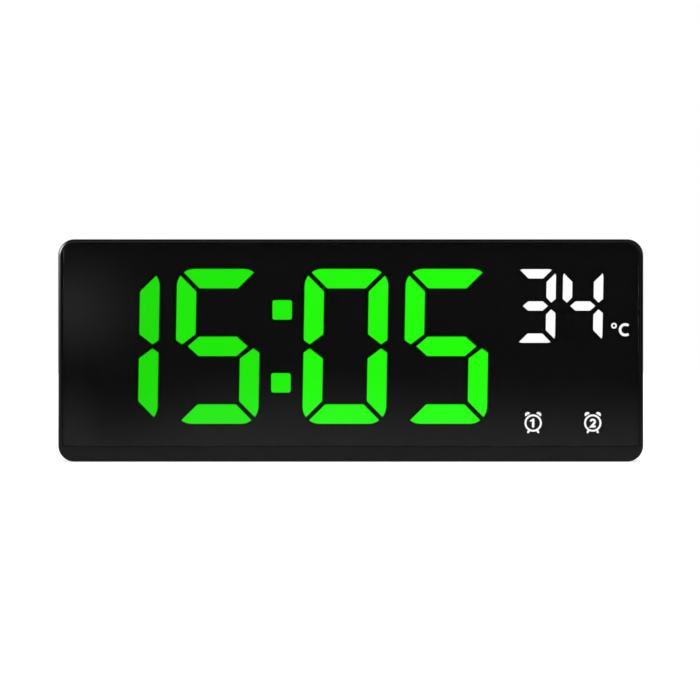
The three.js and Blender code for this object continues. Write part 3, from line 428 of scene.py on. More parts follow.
def window_outline(sizes, outset):
    """The window seen from the front, grown by a distance."""
    return rounded(
        LENS_LOW.x - outset, LENS_LOW.z - outset, LENS_HIGH.x + outset, LENS_HIGH.z + outset,
        sizes.window_foot_radius + outset, sizes.window_top_radius + outset,
    )


def rolled_edge(radius, steps):
    """Inset and depth along a quarter round that turns the front face into a side.

    At angle t the inset is radius*(1 - sin t) and the depth is radius*(1 - cos t).
    """
    t = np.radians(np.linspace(0, 90, steps + 1))
    return np.column_stack([radius * (1 - np.sin(t)), radius * (1 - np.cos(t))])


def front_shell(sizes):
    """The gloss front: one closed profile carried round the case.

    It runs up the inner wall, across the display's opening and the window's seat, up the
    seat's lip, over the rolled front edge and down the outer side.
    """
    block_low, block_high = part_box("light_box")
    play = 0.3 * MM
    opening = rounded(
        block_low.x - play, block_low.z - play, block_high.x + play, block_high.z + play,
        MM, MM,
    )
    depth = CASE_HIGH.y - CASE_LOW.y
    seat = MASK_BACK - CASE_LOW.y
    floor = seat + sizes.seat
    gap, lip, hold = sizes.window_gap, 0.06 * MM, 0.02 * MM
    inner = case_outline(sizes, sizes.wall)
    levels = [
        (inner, depth), (inner, floor), (opening, floor), (opening, seat),
        (window_outline(sizes, gap), seat), (window_outline(sizes, gap), lip + hold),
    ]
    for inset, down in rolled_edge(lip, 4)[::-1]:
        levels.append((window_outline(sizes, gap + lip - inset), down))
    levels.append((window_outline(sizes, gap + lip + hold), 0))
    levels.append((case_outline(sizes, sizes.edge_radius + hold), 0))
    for inset, down in rolled_edge(sizes.edge_radius, 12):
        levels.append((case_outline(sizes, inset), down))
    side = case_outline(sizes, 0)
    levels += [(side, sizes.edge_radius + hold), (side, depth)]
    return layered(levels, closed=True)


def window_pane(sizes):
    """The window: a flat pane with a rolled front edge and a small back chamfer."""
    edge, hold, chamfer, play = sizes.window_edge, 0.03 * MM, 0.1 * MM, 0.04 * MM
    thickness = LENS_HIGH.y - LENS_LOW.y - play
    levels = [(window_outline(sizes, -edge - hold), 0)]
    for inset, down in rolled_edge(edge, 6):
        levels.append((window_outline(sizes, -inset), down))
    side = window_outline(sizes, 0)
    levels += [(side, edge + hold), (side, thickness - chamfer)]
    levels.append((window_outline(sizes, -chamfer), thickness))
    return layered(levels)


# The figures in millimetres: the bars' sizes, the height of each row's middle, and each
# digit with what it shows, its middle and the strength of its light. The time's light grows
# from left to right, as in the photograph.
TIME_FORM = {
    "stroke": 5.45, "gap": 1.12, "radius": 4.8, "tip_side": 1.75, "tip_gap": 0.48,
    "inner_shoulder": 3.3, "outer_shoulder": 1.7, "bar_tip": 3.2, "bar_shoulder": 6.3,
}
SMALL_FORM = {
    "stroke": 2.8, "gap": 1.1, "radius": 2.3, "tip_side": 1.34, "tip_gap": 0.77,
    "inner_shoulder": 2.3, "outer_shoulder": 1.85, "bar_tip": 2.0, "bar_shoulder": 3.6,
}
TIME_MIDDLE, SMALL_MIDDLE = 31.56, 42.61
TIME_DIGITS = {
    "hour_tens": ("1", -64.0, 0.93), "hour_units": ("5", -36.39, 1.05),
    "minute_tens": ("0", -1.45, 1.22), "minute_units": ("5", 26.16, 1.26),
}
SMALL_DIGITS = {
    "temperature_tens": ("3", 50.52, 1.0), "temperature_units": ("4", 63.47, 1.0),
}
COLON_X, COLON_CORNER, COLON_LIGHT = -18.92, 0.75, 1.12
LIT_BARS = {"0": "abcdef", "1": "bc", "3": "abcdg", "4": "bcfg", "5": "acdfg"}

# The signs in millimetres: the degree's place, radius and line, the letter's arc and
# line, and the alarm signs' places and form, whose slants are degrees from upright.
DEGREE = (72.02, 37.22, 0.78, 0.4)
LETTER = (75.12, 36.1, 1.44, 54, 306, 40)
LETTER_LINE = 0.7
ALARM_PLACES = {1: (49.91, 10.59), 2: (66.21, 10.59)}
ALARM = {
    "ring": 2.36, "ring_line": 0.5, "bell": 0.75, "bell_reach": 2.7, "bell_slant": 33,
    "leg_reach": 2.86, "leg_line": 0.56, "leg_slant": 29, "tall": 2.45, "line": 0.57,
}


def digit_bars(x, z, width, height, form, lean):
    """Outlines in metres of a digit's seven bars, by letter from the top to the middle.

    With half width w, half height h and stroke s in millimetres, the top bar runs to within
    a mitre of the corner and takes its share of the corner's arc. The side bar starts from
    the rest of that arc and ends in a point between its two shoulders. The others are mirror
    images of these two. The middle bar is a long hexagon. All lean by their height.
    """
    w, h, s, r = width / 2, height / 2, form["stroke"], form["radius"]
    mitre = form["gap"] / math.sqrt(2)
    half = math.degrees(math.asin(form["gap"] / (2 * r)))
    over = arc(w - r, h - r, r, 90, 45 + half)
    top = np.vstack([
        [[-(w - s - mitre), h - s]], (over * [-1, 1])[::-1], over, [[w - s - mitre, h - s]],
    ])
    side = np.vstack([
        arc(w - r, h - r, r, 45 - half, 0),
        [[w, form["outer_shoulder"]], [w - form["tip_side"], form["tip_gap"]],
         [w - s, form["inner_shoulder"]], [w - s, h - s - mitre]],
    ])
    tip, shoulder = w - form["bar_tip"], w - form["bar_shoulder"]
    middle = np.array([
        [-tip, 0], [-shoulder, s / 2], [shoulder, s / 2],
        [tip, 0], [shoulder, -s / 2], [-shoulder, -s / 2],
    ])
    bars = {
        "a": top, "b": side, "c": side * [1, -1], "d": top * [1, -1],
        "e": side * [-1, -1], "f": side * [-1, 1], "g": middle,
    }
    return {
        letter: np.column_stack([x + bar[:, 0] + bar[:, 1] * lean, z + bar[:, 1]]) * MM
        for letter, bar in bars.items()
    }


def stroke(path, width, round_ends=True):
    """The outline of a line of some width: the path moved half a width to each side.

    At each point the move is along the mean of the two neighbouring normals, made longer by
    one over the cosine of half the turn, so that the line keeps its width round a bend. A
    half circle may close each end.
    """
    step = np.diff(path, axis=0)
    step /= np.linalg.norm(step, axis=1)[:, None]
    normal = np.column_stack([-step[:, 1], step[:, 0]])
    before = np.vstack([normal[:1], normal])
    mean = before + np.vstack([normal, normal[-1:]])
    mean /= np.linalg.norm(mean, axis=1)[:, None]
    shift = mean * (width / 2 / np.sum(mean * before, axis=1))[:, None]
    near, far = path - shift, (path + shift)[::-1]
    if not round_ends:
        return np.vstack([near, far])
    ends = []
    for point, way in ((path[-1], normal[-1]), (path[0], -normal[0])):
        start = math.degrees(math.atan2(way[1], way[0]))
        ends.append(arc(*point, width / 2, start - 180, start, 8)[1:-1])
    return np.vstack([near, ends[0], far, ends[1]])


def drawn_in(outline, distance):
    """An outline whose every side has moved inwards by a distance.

    A corner moves along the mean of its sides' normals, by the distance over the cosine of
    half the turn. The dark edge that this leaves is where the mask overlaps the film.
    """
    apart = np.linalg.norm(outline - np.roll(outline, 1, axis=0), axis=1) > 0.0001 * MM
    outline = outline[apart]
    step = np.roll(outline, -1, axis=0) - outline
    step /= np.linalg.norm(step, axis=1)[:, None]
    normal = np.column_stack([-step[:, 1], step[:, 0]]) * np.sign(winding(outline))
    before = np.roll(normal, 1, axis=0)
    mean = before + normal
    mean /= np.linalg.norm(mean, axis=1)[:, None]
    return outline + mean * (distance / np.sum(mean * before, axis=1))[:, None]


def hoop(x, z, radius, width, front, back):
    """A flat ring from sizes in millimetres: four circles joined in a closed profile."""
    angles = (0, 360 * (1 - 1 / HOOP_STEPS), HOOP_STEPS - 1)
    outer = arc(x, z, radius, *angles) * MM
    inner = arc(x, z, radius - width, *angles) * MM
    levels = ((inner, back), (inner, front), (outer, front), (outer, back))
    return layered(levels, closed=True)


def bells_and_legs(x, z):
    """Outlines in millimetres of the bells and legs round an alarm sign's middle.

    On each side a half circle sits across one spoke as the bell, and a round-ended stroke
    runs out from the ring along another as the leg.
    """
    outlines = []
    for side in (-1, 1):
        angle = 90 - side * ALARM["bell_slant"]
        seat = spoke(x, z, angle, ALARM["bell_reach"])[0]
        outlines.append(arc(*seat, ALARM["bell"], angle - 90, angle + 90))
        start = ALARM["ring"] - ALARM["ring_line"] / 2
        leg = spoke(x, z, side * ALARM["leg_slant"] - 90, start, ALARM["leg_reach"])
        outlines.append(stroke(leg, ALARM["leg_line"]))
    return outlines


def numeral(number, x, z):
    """Outline in millimetres of a 1 or a 2 about a middle.

    The 1 is bounded by a round foot, a round top corner and the end of its flag. The 2 is a
    stroke along an arc, down to the left and along the foot.
    """
    if number == 1:
        return np.vstack([
            arc(x, z - 0.95, 0.32, 180, 360, 12), arc(x + 0.12, z + 1.05, 0.2, 0, 90, 6),
            [[x - 0.1, z + 1.21]], arc(x - 0.8, z + 0.52, 0.14, 130, 270, 8),
            [[x - 0.32, z + 0.55]],
        ])
    half = (ALARM["tall"] - ALARM["line"]) / 2
    bend = half * 0.62
    foot = [[x - half * 0.42, z - half], [x + half * 0.58, z - half]]
    return stroke(
        np.vstack([arc(x, z + half - bend, bend, 150, -35, 14), foot]), ALARM["line"],
    )


def handled(add, where, scale, detail, low, high):
    """Roughness that drifts between two levels, as where cloths and hands have been."""
    marks = add("TexNoise", Vector=where, Scale=scale, Detail=detail)
    return add("MapRange", Value=marks, From_Min=0.3, From_Max=0.7, To_Min=low, To_Max=high)


def polished_abs(colour):
    """Injection-moulded ABS from a polished mould.

    Deep black with a clear mirror; wiping has left the gloss a little uneven, and the mould
    leaves a swell too shallow to see except in a reflection.
    """
    material, add, feed, where = new_material("polished ABS")
    swell = add("TexNoise", Vector=where, Scale=35.0, Detail=0.0)
    bump = add("Bump", Height=swell, Strength=0.03, Distance=0.02 * MM)
    feed(
        Base_Color=colour, Roughness=handled(add, where, 90.0, 3.0, 0.05, 0.09),
        Specular_IOR_Level=0.14, Normal=bump,
    )
    return material


def textured_abs(name, colour, grain=0.5, relief=0.035, roughness=0.5):
    """Injection-moulded ABS from a spark-eroded mould.

    Soft black with a fine even grain that breaks up the light, and a trace of polish where
    hands have been. The real grain is about 0.15 mm wide; it is drawn grain millimetres
    wide, as coarse as it needs to be to show.
    """
    material, add, feed, where = new_material(name)
    scale = 1 / (2 * grain * MM)
    pits = add("TexNoise", Vector=where, Scale=scale, Detail=2.0, Roughness=0.6)
    bump = add("Bump", Height=pits, Strength=0.8, Distance=relief * MM)
    shade = add(
        "Mix", {"data_type": "RGBA"},
        {6: toned(colour, 0.8), 7: toned(colour, 1.2)}, Factor=pits,
    )
    feed(
        Base_Color=shade, Specular_IOR_Level=0.28, Normal=bump,
        Roughness=handled(add, where, 45.0, 3.0, roughness + 0.05, roughness - 0.07),
    )
    return material


def smoked_acrylic(colour):
    """Cast acrylic sheet with a smoke dye, polished on both faces.

    It is near black over the mask, and its two faces let half of the figures' light through
    between them. Faint wiping marks show only in its gloss.
    """
    material, add, feed, where = new_material("smoked acrylic")
    feed(
        Base_Color=colour, Roughness=handled(add, where, 70.0, 4.0, 0.02, 0.045),
        Alpha=WINDOW_ALPHA, IOR=1.49,
    )
    return material


def printed_black(colour):
    """Black ink screen-printed on polyester film.

    Dead matt, so that the window over it stays black, with the fine mark of a woven screen.
    """
    material, add, feed, where = new_material("screen-printed black ink")
    weave = add("TexVoronoi", Vector=where, Scale=1 / (0.25 * MM), Randomness=0.1)
    bump = add("Bump", Height=weave, Strength=0.3, Distance=0.004 * MM)
    feed(Base_Color=colour, Roughness=0.6, Specular_IOR_Level=0.0, Normal=bump)
    return material


def lit_film(name, colour, strength):
    """A light-spreading film lit from behind: an even glow of one colour.

    The strength is what shows in front of the smoked window, which takes its share.
    """
    material, add, feed, where = new_material(name)
    haze = add("TexNoise", Vector=where, Scale=1 / (4 * MM))
    satin = add("MapRange", Value=haze, To_Min=0.45, To_Max=0.65)
    feed(
        Base_Color=linear("#0D0D0D"), Roughness=satin, Specular_IOR_Level=0.0,
        Emission_Color=colour, Emission_Strength=strength / WINDOW_PASSES,
    )
    return material


def unlit_film(name):
    """The same film with no light behind it: smoke grey, so that it hides in the mask."""
    material, add, feed, where = new_material(name)
    haze = add("TexNoise", Vector=where, Scale=1 / (4 * MM))
    shade = add(
        "Mix", {"data_type": "RGBA"},
        {6: linear("#1D1D1D"), 7: linear("#202020")}, Factor=haze,
    )
    feed(Base_Color=shade, Roughness=0.6, Specular_IOR_Level=0.0)
    return material


def grained(name, colour, other, size, roughness=0.45, metallic=0.0, relief=0.0):
    """A finish whose colour and gloss drift over spots of a size in millimetres.

    It keeps the small moulded, plated and coated parts inside from looking flat.
    """
    material, add, feed, where = new_material(name)
    spots = add("TexNoise", Vector=where, Scale=1 / (2 * size * MM), Detail=3.0)
    shade = add("Mix", {"data_type": "RGBA"}, {6: colour, 7: other}, Factor=spots)
    even = add("MapRange", Value=spots, To_Min=roughness - 0.08, To_Max=roughness + 0.08)
    feed(Base_Color=shade, Roughness=even, Metallic=metallic)
    if relief:
        bump = add("Bump", Height=spots, Strength=0.5, Distance=relief * MM)
        feed(Normal=bump)
    return material


# Finishes of the small parts: two tones, the size of the spots, then roughness, metallic
# and relief where they aren't the usual ones, and the nodes that have it.
SMALL_PARTS = {
    # Bright and even, to throw the chips' light forward.
    "white polystyrene, moulded": ("#E9E9E4", "#F1F1EC", 1.5, ("light_box",)),
    # Dull charcoal with a fine tooth.
    "moulded black epoxy": (
        "#101012", "#17171A", 0.1, 0.55, 0.0, 0.01,
        ("microcontroller", "thermistor", "buzzer")),
    # Warm silver with a soft sheen.
    "nickel-plated can": ("#C4C3BD", "#D2D1CC", 0.4, 0.28, 1.0, ("crystal", "capacitor")),
    # Satin black.
    "moulded black nylon": (
        "#141416", "#1B1B1E", 0.2, 0.5,
        ("switch_1", "switch_2", "switch_3", "switch_4")),
    # Waxy cream.
    "moulded ivory nylon": (
        "#D8D2BF", "#E2DCCB", 0.3, 0.4,
        ("switch_plunger_1", "switch_plunger_2", "switch_plunger_3", "switch_plunger_4")),
    # Bright grey with a faint drift where the press drew it.
    "pressed nickel-plated steel": (
        "#B4B4B1", "#C3C3C0", 0.5, 0.25, 1.0, ("power_socket",)),
    # Soft mid grey.
    "ribbed grey vinyl": ("#8E9092", "#9C9EA0", 0.6, 0.5, ("ribbon_cable",)),
    # Rubbery, with a low sheen, in the leads' two colours.
    "red vinyl": ("#A81512", "#B71B17", 0.5, 0.4, ("battery_lead_red",)),
    "black vinyl": ("#121213", "#19191A", 0.5, 0.4, ("battery_lead_black",)),
}


def solder_mask(colour):
    """Glass-fibre board under green solder mask, with copper tracks raised below it.

    Glossy green, lighter and slightly raised where a track runs under it.
    """
    material, add, feed, where = new_material("solder-masked glass-fibre board")
    tracks = add(
        "TexBrick", Vector=where, Scale=1 / (9 * MM), Mortar_Size=0.06, Mortar_Smooth=0.1,
    ).outputs["Fac"]
    shade = add(
        "Mix", {"data_type": "RGBA"},
        {6: colour, 7: toned(colour, 1.8)}, Factor=tracks,
    )
    bump = add("Bump", Height=tracks, Strength=0.6, Distance=0.035 * MM)
    feed(Base_Color=shade, Roughness=0.32, Normal=bump)
    return material


def cell_jacket(name, flat_end, button_end):
    """A round cell: printed shrink film between bare plated ends.

    Along its length, given by the X of its ends, the finish turns from bare steel to a dark
    jacket, a copper-coloured band and bare steel again, each with a hard printed edge.
    """
    material, add, feed, where = new_material(name)
    along = add("SeparateXYZ", Vector=where).outputs["X"]
    share = add("MapRange", Value=along, From_Min=flat_end, From_Max=button_end)
    steel, dark, copper = linear("#C9CACB"), linear("#191A1C"), linear("#B9703F")
    bands, metal = add("ValToRGB", Fac=share), add("ValToRGB", Fac=share)
    for ramp in (bands, metal):
        ramp.color_ramp.interpolation = "CONSTANT"
    set_stops(bands, ((0.0, steel), (0.02, dark), (0.72, copper), (0.955, steel)))
    set_stops(metal, ((0.0, 1.0), (0.02, 0.0), (0.72, 0.7), (0.955, 1.0)))
    feed(Base_Color=bands, Metallic=metal, Roughness=0.3)
    return material


def round_cell(low, high, facing, sizes):
    """A battery cell: a profile of distances and radii turned about the cell's length.

    From the flat end it runs over a rolled rim, along the jacket, over the shoulder and down
    a groove to the button. Row r is a circle of the profile's radius, at its distance from
    the flat end, and facing says which way along X the button points.
    """
    radius, length = (high.z - low.z) / 2, high.x - low.x
    shoulder = length - sizes.button_length
    button, rim = sizes.button_radius, sizes.rim
    dish, groove, nose = 0.2 * MM, 0.3 * MM, 0.25 * MM
    foot, top = arc(0, 0, rim, 270, 360, 6), arc(0, 0, rim, 0, 90, 6)
    fall = arc(0, 0, nose, 0, 90, 4)
    profile = np.vstack([
        [[dish, radius * 0.55], [dish, radius * 0.68], [0, radius * 0.72]],
        np.column_stack([rim + foot[:, 1], radius - rim + foot[:, 0]]),
        np.column_stack([shoulder - rim + top[:, 1], radius - rim + top[:, 0]]),
        [[shoulder, radius * 0.62], [shoulder - groove, radius * 0.58],
         [shoulder - groove, button + 0.1 * MM], [shoulder - dish, button]],
        np.column_stack([length - nose + fall[:, 1], button - nose + fall[:, 0]]),
    ])
    along, out = profile[:, :1], profile[:, 1:]
    turn = np.linspace(0, 2 * np.pi, 49)[None, :-1] * facing
    flat_end = low.x if facing > 0 else high.x
    rows = np.stack([
        flat_end + facing * along + 0 * turn,
        (low.y + high.y) / 2 + out * np.cos(turn),
        (low.z + high.z) / 2 + out * np.sin(turn),
    ], -1)
    return carried(list(rows))


class CLOCK_OT_front(bpy.types.Operator):
    """Make the gloss front of the case"""

    bl_idname = "clock.front"
    bl_label = "Gloss front"

    def execute(self, context):
        scene = context.scene
        front = new_piece(
            "gloss_front", front_shell(scene.clock_case),
            polished_abs(scene.clock_colours.gloss_black),
        )
        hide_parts("front_frame")
        return {"FINISHED"}


class CLOCK_OT_window(bpy.types.Operator):
    """Make the smoked window and finish the mask and films behind it"""

    bl_idname = "clock.window"
    bl_label = "Smoked window"

    def execute(self, context):
        scene = context.scene
        pane = new_piece(
            "smoked_window", window_pane(scene.clock_case),
            smoked_acrylic(scene.clock_colours.smoke),
        )
        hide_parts("front_lens")
        dress(printed_black(linear("#1F1F1F")), "display_mask")
        dress(
            unlit_film("unlit light-spreading film"),
            "time_diffuser", "temperature_diffuser", "alarm_sign_diffuser",
        )
        return {"FINISHED"}


class CLOCK_OT_figures(bpy.types.Operator):
    """Make the time, the colon and the temperature"""

    bl_idname = "clock.figures"
    bl_label = "Lit figures"

    def execute(self, context):
        sizes = context.scene.clock_figures
        colours = context.scene.clock_colours
        unlit = unlit_film("unlit figure film")
        rows = (
            ("time_unlit", "green", TIME_DIGITS, TIME_MIDDLE, sizes.time_width,
             sizes.time_height, TIME_FORM, sizes.mask_overlap),
            ("temperature_unlit", "white", SMALL_DIGITS, SMALL_MIDDLE, sizes.small_width,
             sizes.small_height, SMALL_FORM, sizes.small_overlap),
        )
        unlit_bars = {}
        for unlit_name, hue, digits, middle, width, height, form, rim in rows:
            unlit_bars[unlit_name] = []
            for name, (shown, x, level) in digits.items():
                bars = digit_bars(x, middle, width / MM, height / MM, form, sizes.lean)
                plates, slot = {True: [], False: unlit_bars[unlit_name]}, f"{hue}_light"
                for letter, bar in bars.items():
                    lit = letter in LIT_BARS[shown]
                    plates[lit].append(plate(drawn_in(bar, rim), *FIGURE_DEPTHS))
                film = f"lit {hue} film, {name.replace('_', ' ')}"
                glow = lit_film(film, getattr(colours, slot), level)
                new_piece(f"{name}_lit", several(plates[True]), glow)
        for name, shapes in unlit_bars.items():
            new_piece(name, several(shapes), unlit)
        side, corner = sizes.colon_size / 2, COLON_CORNER * MM
        dots = []
        for end in (-1, 1):
            rise = end * sizes.colon_spread / 2
            x, z = COLON_X * MM + rise * sizes.lean, TIME_MIDDLE * MM + rise
            dot = rounded(x - side, z - side, x + side, z + side, corner, corner)
            dots.append(plate(drawn_in(dot, 2 * sizes.mask_overlap), *FIGURE_DEPTHS))
        glow = lit_film("lit green film, colon", colours.green_light, COLON_LIGHT)
        new_piece("colon_lit", several(dots), glow)
        return {"FINISHED"}


class CLOCK_OT_signs(bpy.types.Operator):
    """Make the degree sign, the letter and the two alarm signs"""

    bl_idname = "clock.signs"
    bl_label = "Lit signs"

    def execute(self, context):
        white = context.scene.clock_colours.white_light
        glow = lit_film("lit white film, signs", white, 1.0)
        letter = stroke(arc(*LETTER), LETTER_LINE, round_ends=False)
        unit = [hoop(*DEGREE, *SIGN_DEPTHS), plate(letter * MM, *SIGN_DEPTHS)]
        new_piece("unit_lit", several(unit), glow)
        for number, (x, z) in ALARM_PLACES.items():
            outlines = [*bells_and_legs(x, z), numeral(number, x, z)]
            shapes = [hoop(x, z, ALARM["ring"], ALARM["ring_line"], *SIGN_DEPTHS)]
            shapes += [plate(outline * MM, *SIGN_DEPTHS) for outline in outlines]
            new_piece(f"alarm_sign_{number}_lit", several(shapes), glow)
        return {"FINISHED"}


class CLOCK_OT_back(bpy.types.Operator):
    """Finish the rear cover, the battery door and the buttons"""

    bl_idname = "clock.back"
    bl_label = "Back, door and buttons"

    def execute(self, context):
        black = context.scene.clock_colours.satin_black
        cover = textured_abs("spark-textured ABS, cover", black)
        smooth_copy("rear_cover", "moulded_cover", cover)
        door = textured_abs("spark-textured ABS, door", black)
        smooth_copy("battery_door", "moulded_door", door, "door")
        keys = textured_abs("fine-textured ABS, buttons", black, 0.35, 0.012, 0.42)
        for key in ("alarm", "down", "up", "set"):
            smooth_copy(f"button_{key}", f"moulded_{key}", keys, f"{key}_key")
        return {"FINISHED"}


class CLOCK_OT_boards(bpy.types.Operator):
    """Finish the boards, what they carry, the light box and the leads"""

    bl_idname = "clock.boards"
    bl_label = "Boards and small parts"

    def execute(self, context):
        board = solder_mask(context.scene.clock_colours.board_green)
        dress(board, "main_board", "button_board")
        for name, (colour, other, *form, nodes) in SMALL_PARTS.items():
            dress(grained(name, linear(colour), linear(other), *form), *nodes)
        return {"FINISHED"}


class CLOCK_OT_battery(bpy.types.Operator):
    """Make the round cells and finish their contacts"""

    bl_idname = "clock.battery"
    bl_label = "Cells and contacts"

    def execute(self, context):
        for number, facing in ((1, -1), (2, 1), (3, -1)):
            node = f"battery_cell_{number}"
            low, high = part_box(node)
            ends = (low.x, high.x)[::facing]
            cell = new_piece(
                f"round_cell_{number}",
                round_cell(low, high, facing, context.scene.clock_cells),
                cell_jacket(f"shrink-printed cell {number}", *ends),
            )
            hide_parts(node)
        # Springy and bright, with the nickel's faint drift of tone.
        sprung = grained(
            "nickel-plated spring steel", linear("#BDBDB9"), linear("#CBCBC8"),
            size=0.3, roughness=0.22, metallic=1.0,
        )
        for end in ("positive", "negative", "bridge_1", "bridge_2"):
            smooth_copy(f"contact_{end}", f"sprung_contact_{end}", sprung)
        return {"FINISHED"}


class CLOCK_OT_screws(bpy.types.Operator):
    """Finish the screws"""

    bl_idname = "clock.screws"
    bl_label = "Screws"

    def execute(self, context):
        # Pale bluish metal, mottled by its thin coat.
        steel = context.scene.clock_colours.steel
        zinc = grained(
            "zinc-plated steel screw", steel, toned(steel, 0.8),
            size=0.25, roughness=0.3, metallic=1.0,
        )
        for node in [name for name in NODES if "_screw_" in name]:
            smooth_copy(node, f"turned_{node}", zinc)
        return {"FINISHED"}


def seen_directly(add):
    """One where a ray comes from the camera, a mirror or clear glass, and zero elsewhere."""
    path = add("LightPath").outputs
    total = path["Is Camera Ray"]
    for kind in ("Is Glossy Ray", "Is Transmission Ray"):
        total = add("Math", {"operation": "MAXIMUM"}, {0: total, 1: path[kind]})
    return total


def room_world(strength):
    """Even soft light from all round, seen as plain white by the camera and by mirrors."""
    world = bpy.data.worlds.new("studio")
    bpy.context.scene.world = world
    world.use_nodes = True
    tree = world.node_tree
    add = node_adder(tree)
    light = tree.nodes["Background"]
    put_in(tree, light, {"Color": WHITE, "Strength": strength})
    white = add("Background", Color=WHITE)
    mix = add("MixShader", None, {0: seen_directly(add), 1: light, 2: white})
    put_in(tree, tree.nodes["World Output"], {"Surface": mix})


def staged_sheet(name, rows, material):
    """An open sheet through a grid of points, part of the stage."""
    mesh = bpy.data.meshes.new(name)
    faces = grid_faces(*rows.shape[:2], False, False)
    mesh.from_pydata(rows.reshape(-1, 3).tolist(), [], faces)
    mesh.materials.append(material)
    sheet = placed(name, mesh)
    return sheet


def only_in_gloss(sheet):
    """Leaves a sheet to mirror rays alone, so it neither lights nor shades anything."""
    for ray in ("camera", "diffuse", "shadow", "transmission"):
        setattr(sheet, f"visible_{ray}", False)


def pale_floor(radius):
    """A round pale floor: points at growing radii times the cosine and sine of the turn.

    Its own glow, which hides its far edge in the white, is less near the clock, so that the
    shadow stays.
    """
    turn, reach = np.meshgrid(
        np.linspace(0, 2 * np.pi, 129), np.geomspace(0.1 * MM, radius, 32),
    )
    rows = np.stack([reach * np.cos(turn), reach * np.sin(turn), 0 * turn], -1)
    material, add, feed, where = new_material("pale paper sweep")
    away = add("VectorMath", {"operation": "LENGTH"}, {0: where})
    fade = add("MapRange", Value=away, From_Min=0.2, From_Max=2.0, To_Min=0.6)
    lift = add("Math", {"operation": "MULTIPLY"}, {0: fade, 1: seen_directly(add)})
    feed(
        Base_Color=linear("#EAEAEA"), Roughness=0.9, Specular_IOR_Level=0.1,
        Emission_Color=WHITE, Emission_Strength=lift,
    )
    staged_sheet("pale_floor", rows, material)


def dark_screen(tone, reach_out):
    """A dark cloth before the clock, so that black gloss stays black; only mirrors see it.

    Round the vertical axis it runs out along the floor and rises over the clock as a dome.
    Its tone is painted glow, lit by no lamp. It falls with distance along the floor from
    paper white to dark, and painted shade makes it fall faster in some directions from the
    camera than in others. There is a soft pale patch of painted glow, as of a window behind
    the photographer's left shoulder, and a pale band high up, which only the rolled edges
    mirror. The gloss shows all of these as painted reflections.
    """
    along = np.geomspace(CLOTH_START, CLOTH_REACH, 30)
    rise = np.radians(np.linspace(0, CLOTH_RISE, 40))[1:]
    reach = np.concatenate([along, CLOTH_REACH * np.cos(rise)])
    height = np.concatenate([0 * along, CLOTH_REACH * np.sin(rise)]) + MM
    turn, reach = np.meshgrid(np.radians(np.linspace(*CLOTH_TURN, 93)), reach)
    rows = np.stack(
        [reach * np.cos(turn), reach * np.sin(turn), height[:, None] + 0 * turn], -1,
    )
    material, add, feed, where = new_material("dark studio cloth")
    part = add("SeparateXYZ", Vector=where).outputs
    # Painted shade: the cloth's glow falls faster in some directions from the camera, so the
    # gloss mirrors it darker there.
    depth = add("Math", {"operation": "SUBTRACT"}, {0: reach_out, 1: part["Y"]})
    side = add("Math", {"operation": "DIVIDE"}, {0: part["X"], 1: depth})
    across = add("MapRange", Value=side, From_Min=-0.05, From_Max=0.05)
    side_shade = add("ValToRGB", Fac=across)
    faster = add("MapRange", Value=set_stops(side_shade, CLOTH_SIDE_SHADE), To_Min=1.0, To_Max=3.0)
    away = add("VectorMath", {"operation": "LENGTH"}, {0: where})
    run = add("Math", {"operation": "MULTIPLY"}, {0: away, 1: faster})
    fall = add("ValToRGB", Fac=add("MapRange", Value=run, From_Max=CLOTH_REACH))
    tones = set_stops(fall, [(place, tone + x * (1 - tone)) for place, x in CLOTH_TONES])
    # A soft pale patch of painted glow, as of a window, which the gloss mirrors.
    x, z, wide, tall = *PATCH_MIDDLE, *PATCH_RADII
    patch = add(
        "Mapping", Vector=where,
        Location=(-x / wide, 0.0, -z / tall), Scale=(1 / wide, 0.0, 1 / tall),
    )
    off = add("VectorMath", {"operation": "LENGTH"}, {0: patch})
    glow = add(
        "MapRange", {"interpolation_type": "SMOOTHSTEP"},
        Value=off, From_Max=1.5, To_Min=0.85, To_Max=0.0,
    )
    band = add("ValToRGB", Fac=add("MapRange", Value=part["Z"], From_Max=CLOTH_REACH))
    total = tones
    for more in (glow, set_stops(band, CLOTH_BAND)):
        total = add("Math", {"operation": "ADD"}, {0: total, 1: more})
    feed(
        Base_Color=BLACK, Roughness=1.0, Specular_IOR_Level=0.0, Emission_Color=WHITE,
        Emission_Strength=total,
    )
    only_in_gloss(staged_sheet("dark_screen", rows, material))


def pale_card(tone):
    """A card close to the clock's left end, in front of it, that glows of itself, lit by no
    lamp; only its polish sees it.

    It is part of an upright cylinder. Its painted glow grows with height up to 0.18 m and
    fades above that, so the highlight that it puts on the case's left edge is lighter
    towards the top and lightest at the top corner. Light linking keeps it off the matt back.
    """
    turn, height = np.meshgrid(
        np.radians(np.linspace(*CARD_TURN, 36)), np.linspace(CARD_FOOT, CARD_TOP, 30),
    )
    x, y = CARD_MIDDLE
    rows = np.stack(
        [x + CARD_RADIUS * np.cos(turn), y + CARD_RADIUS * np.sin(turn), height], -1,
    )
    # Painted glow, lit by no lamp and brighter with height: it puts the highlight on the
    # case's left edge.
    material, add, feed, where = new_material("glowing white card")
    height = add("SeparateXYZ", Vector=where).outputs["Z"]
    ramp = add("ValToRGB", Fac=add("MapRange", Value=height, From_Max=CARD_TOP))
    tones = set_stops(ramp, CARD_TONES)
    glow = add("VectorMath", {"operation": "SCALE"}, {0: tones}, Scale=tone)
    feed(
        Base_Color=BLACK, Roughness=1.0, Specular_IOR_Level=0.0,
        Emission_Color=glow, Emission_Strength=1.0,
    )
    card = staged_sheet("pale_card", rows, material)
    only_in_gloss(card)
    polished = bpy.data.collections.new("polished pieces")
    for name in ("gloss_front", "smoked_window"):
        polished.objects.link(bpy.data.objects[name])
    card.light_linking.receiver_collection = polished


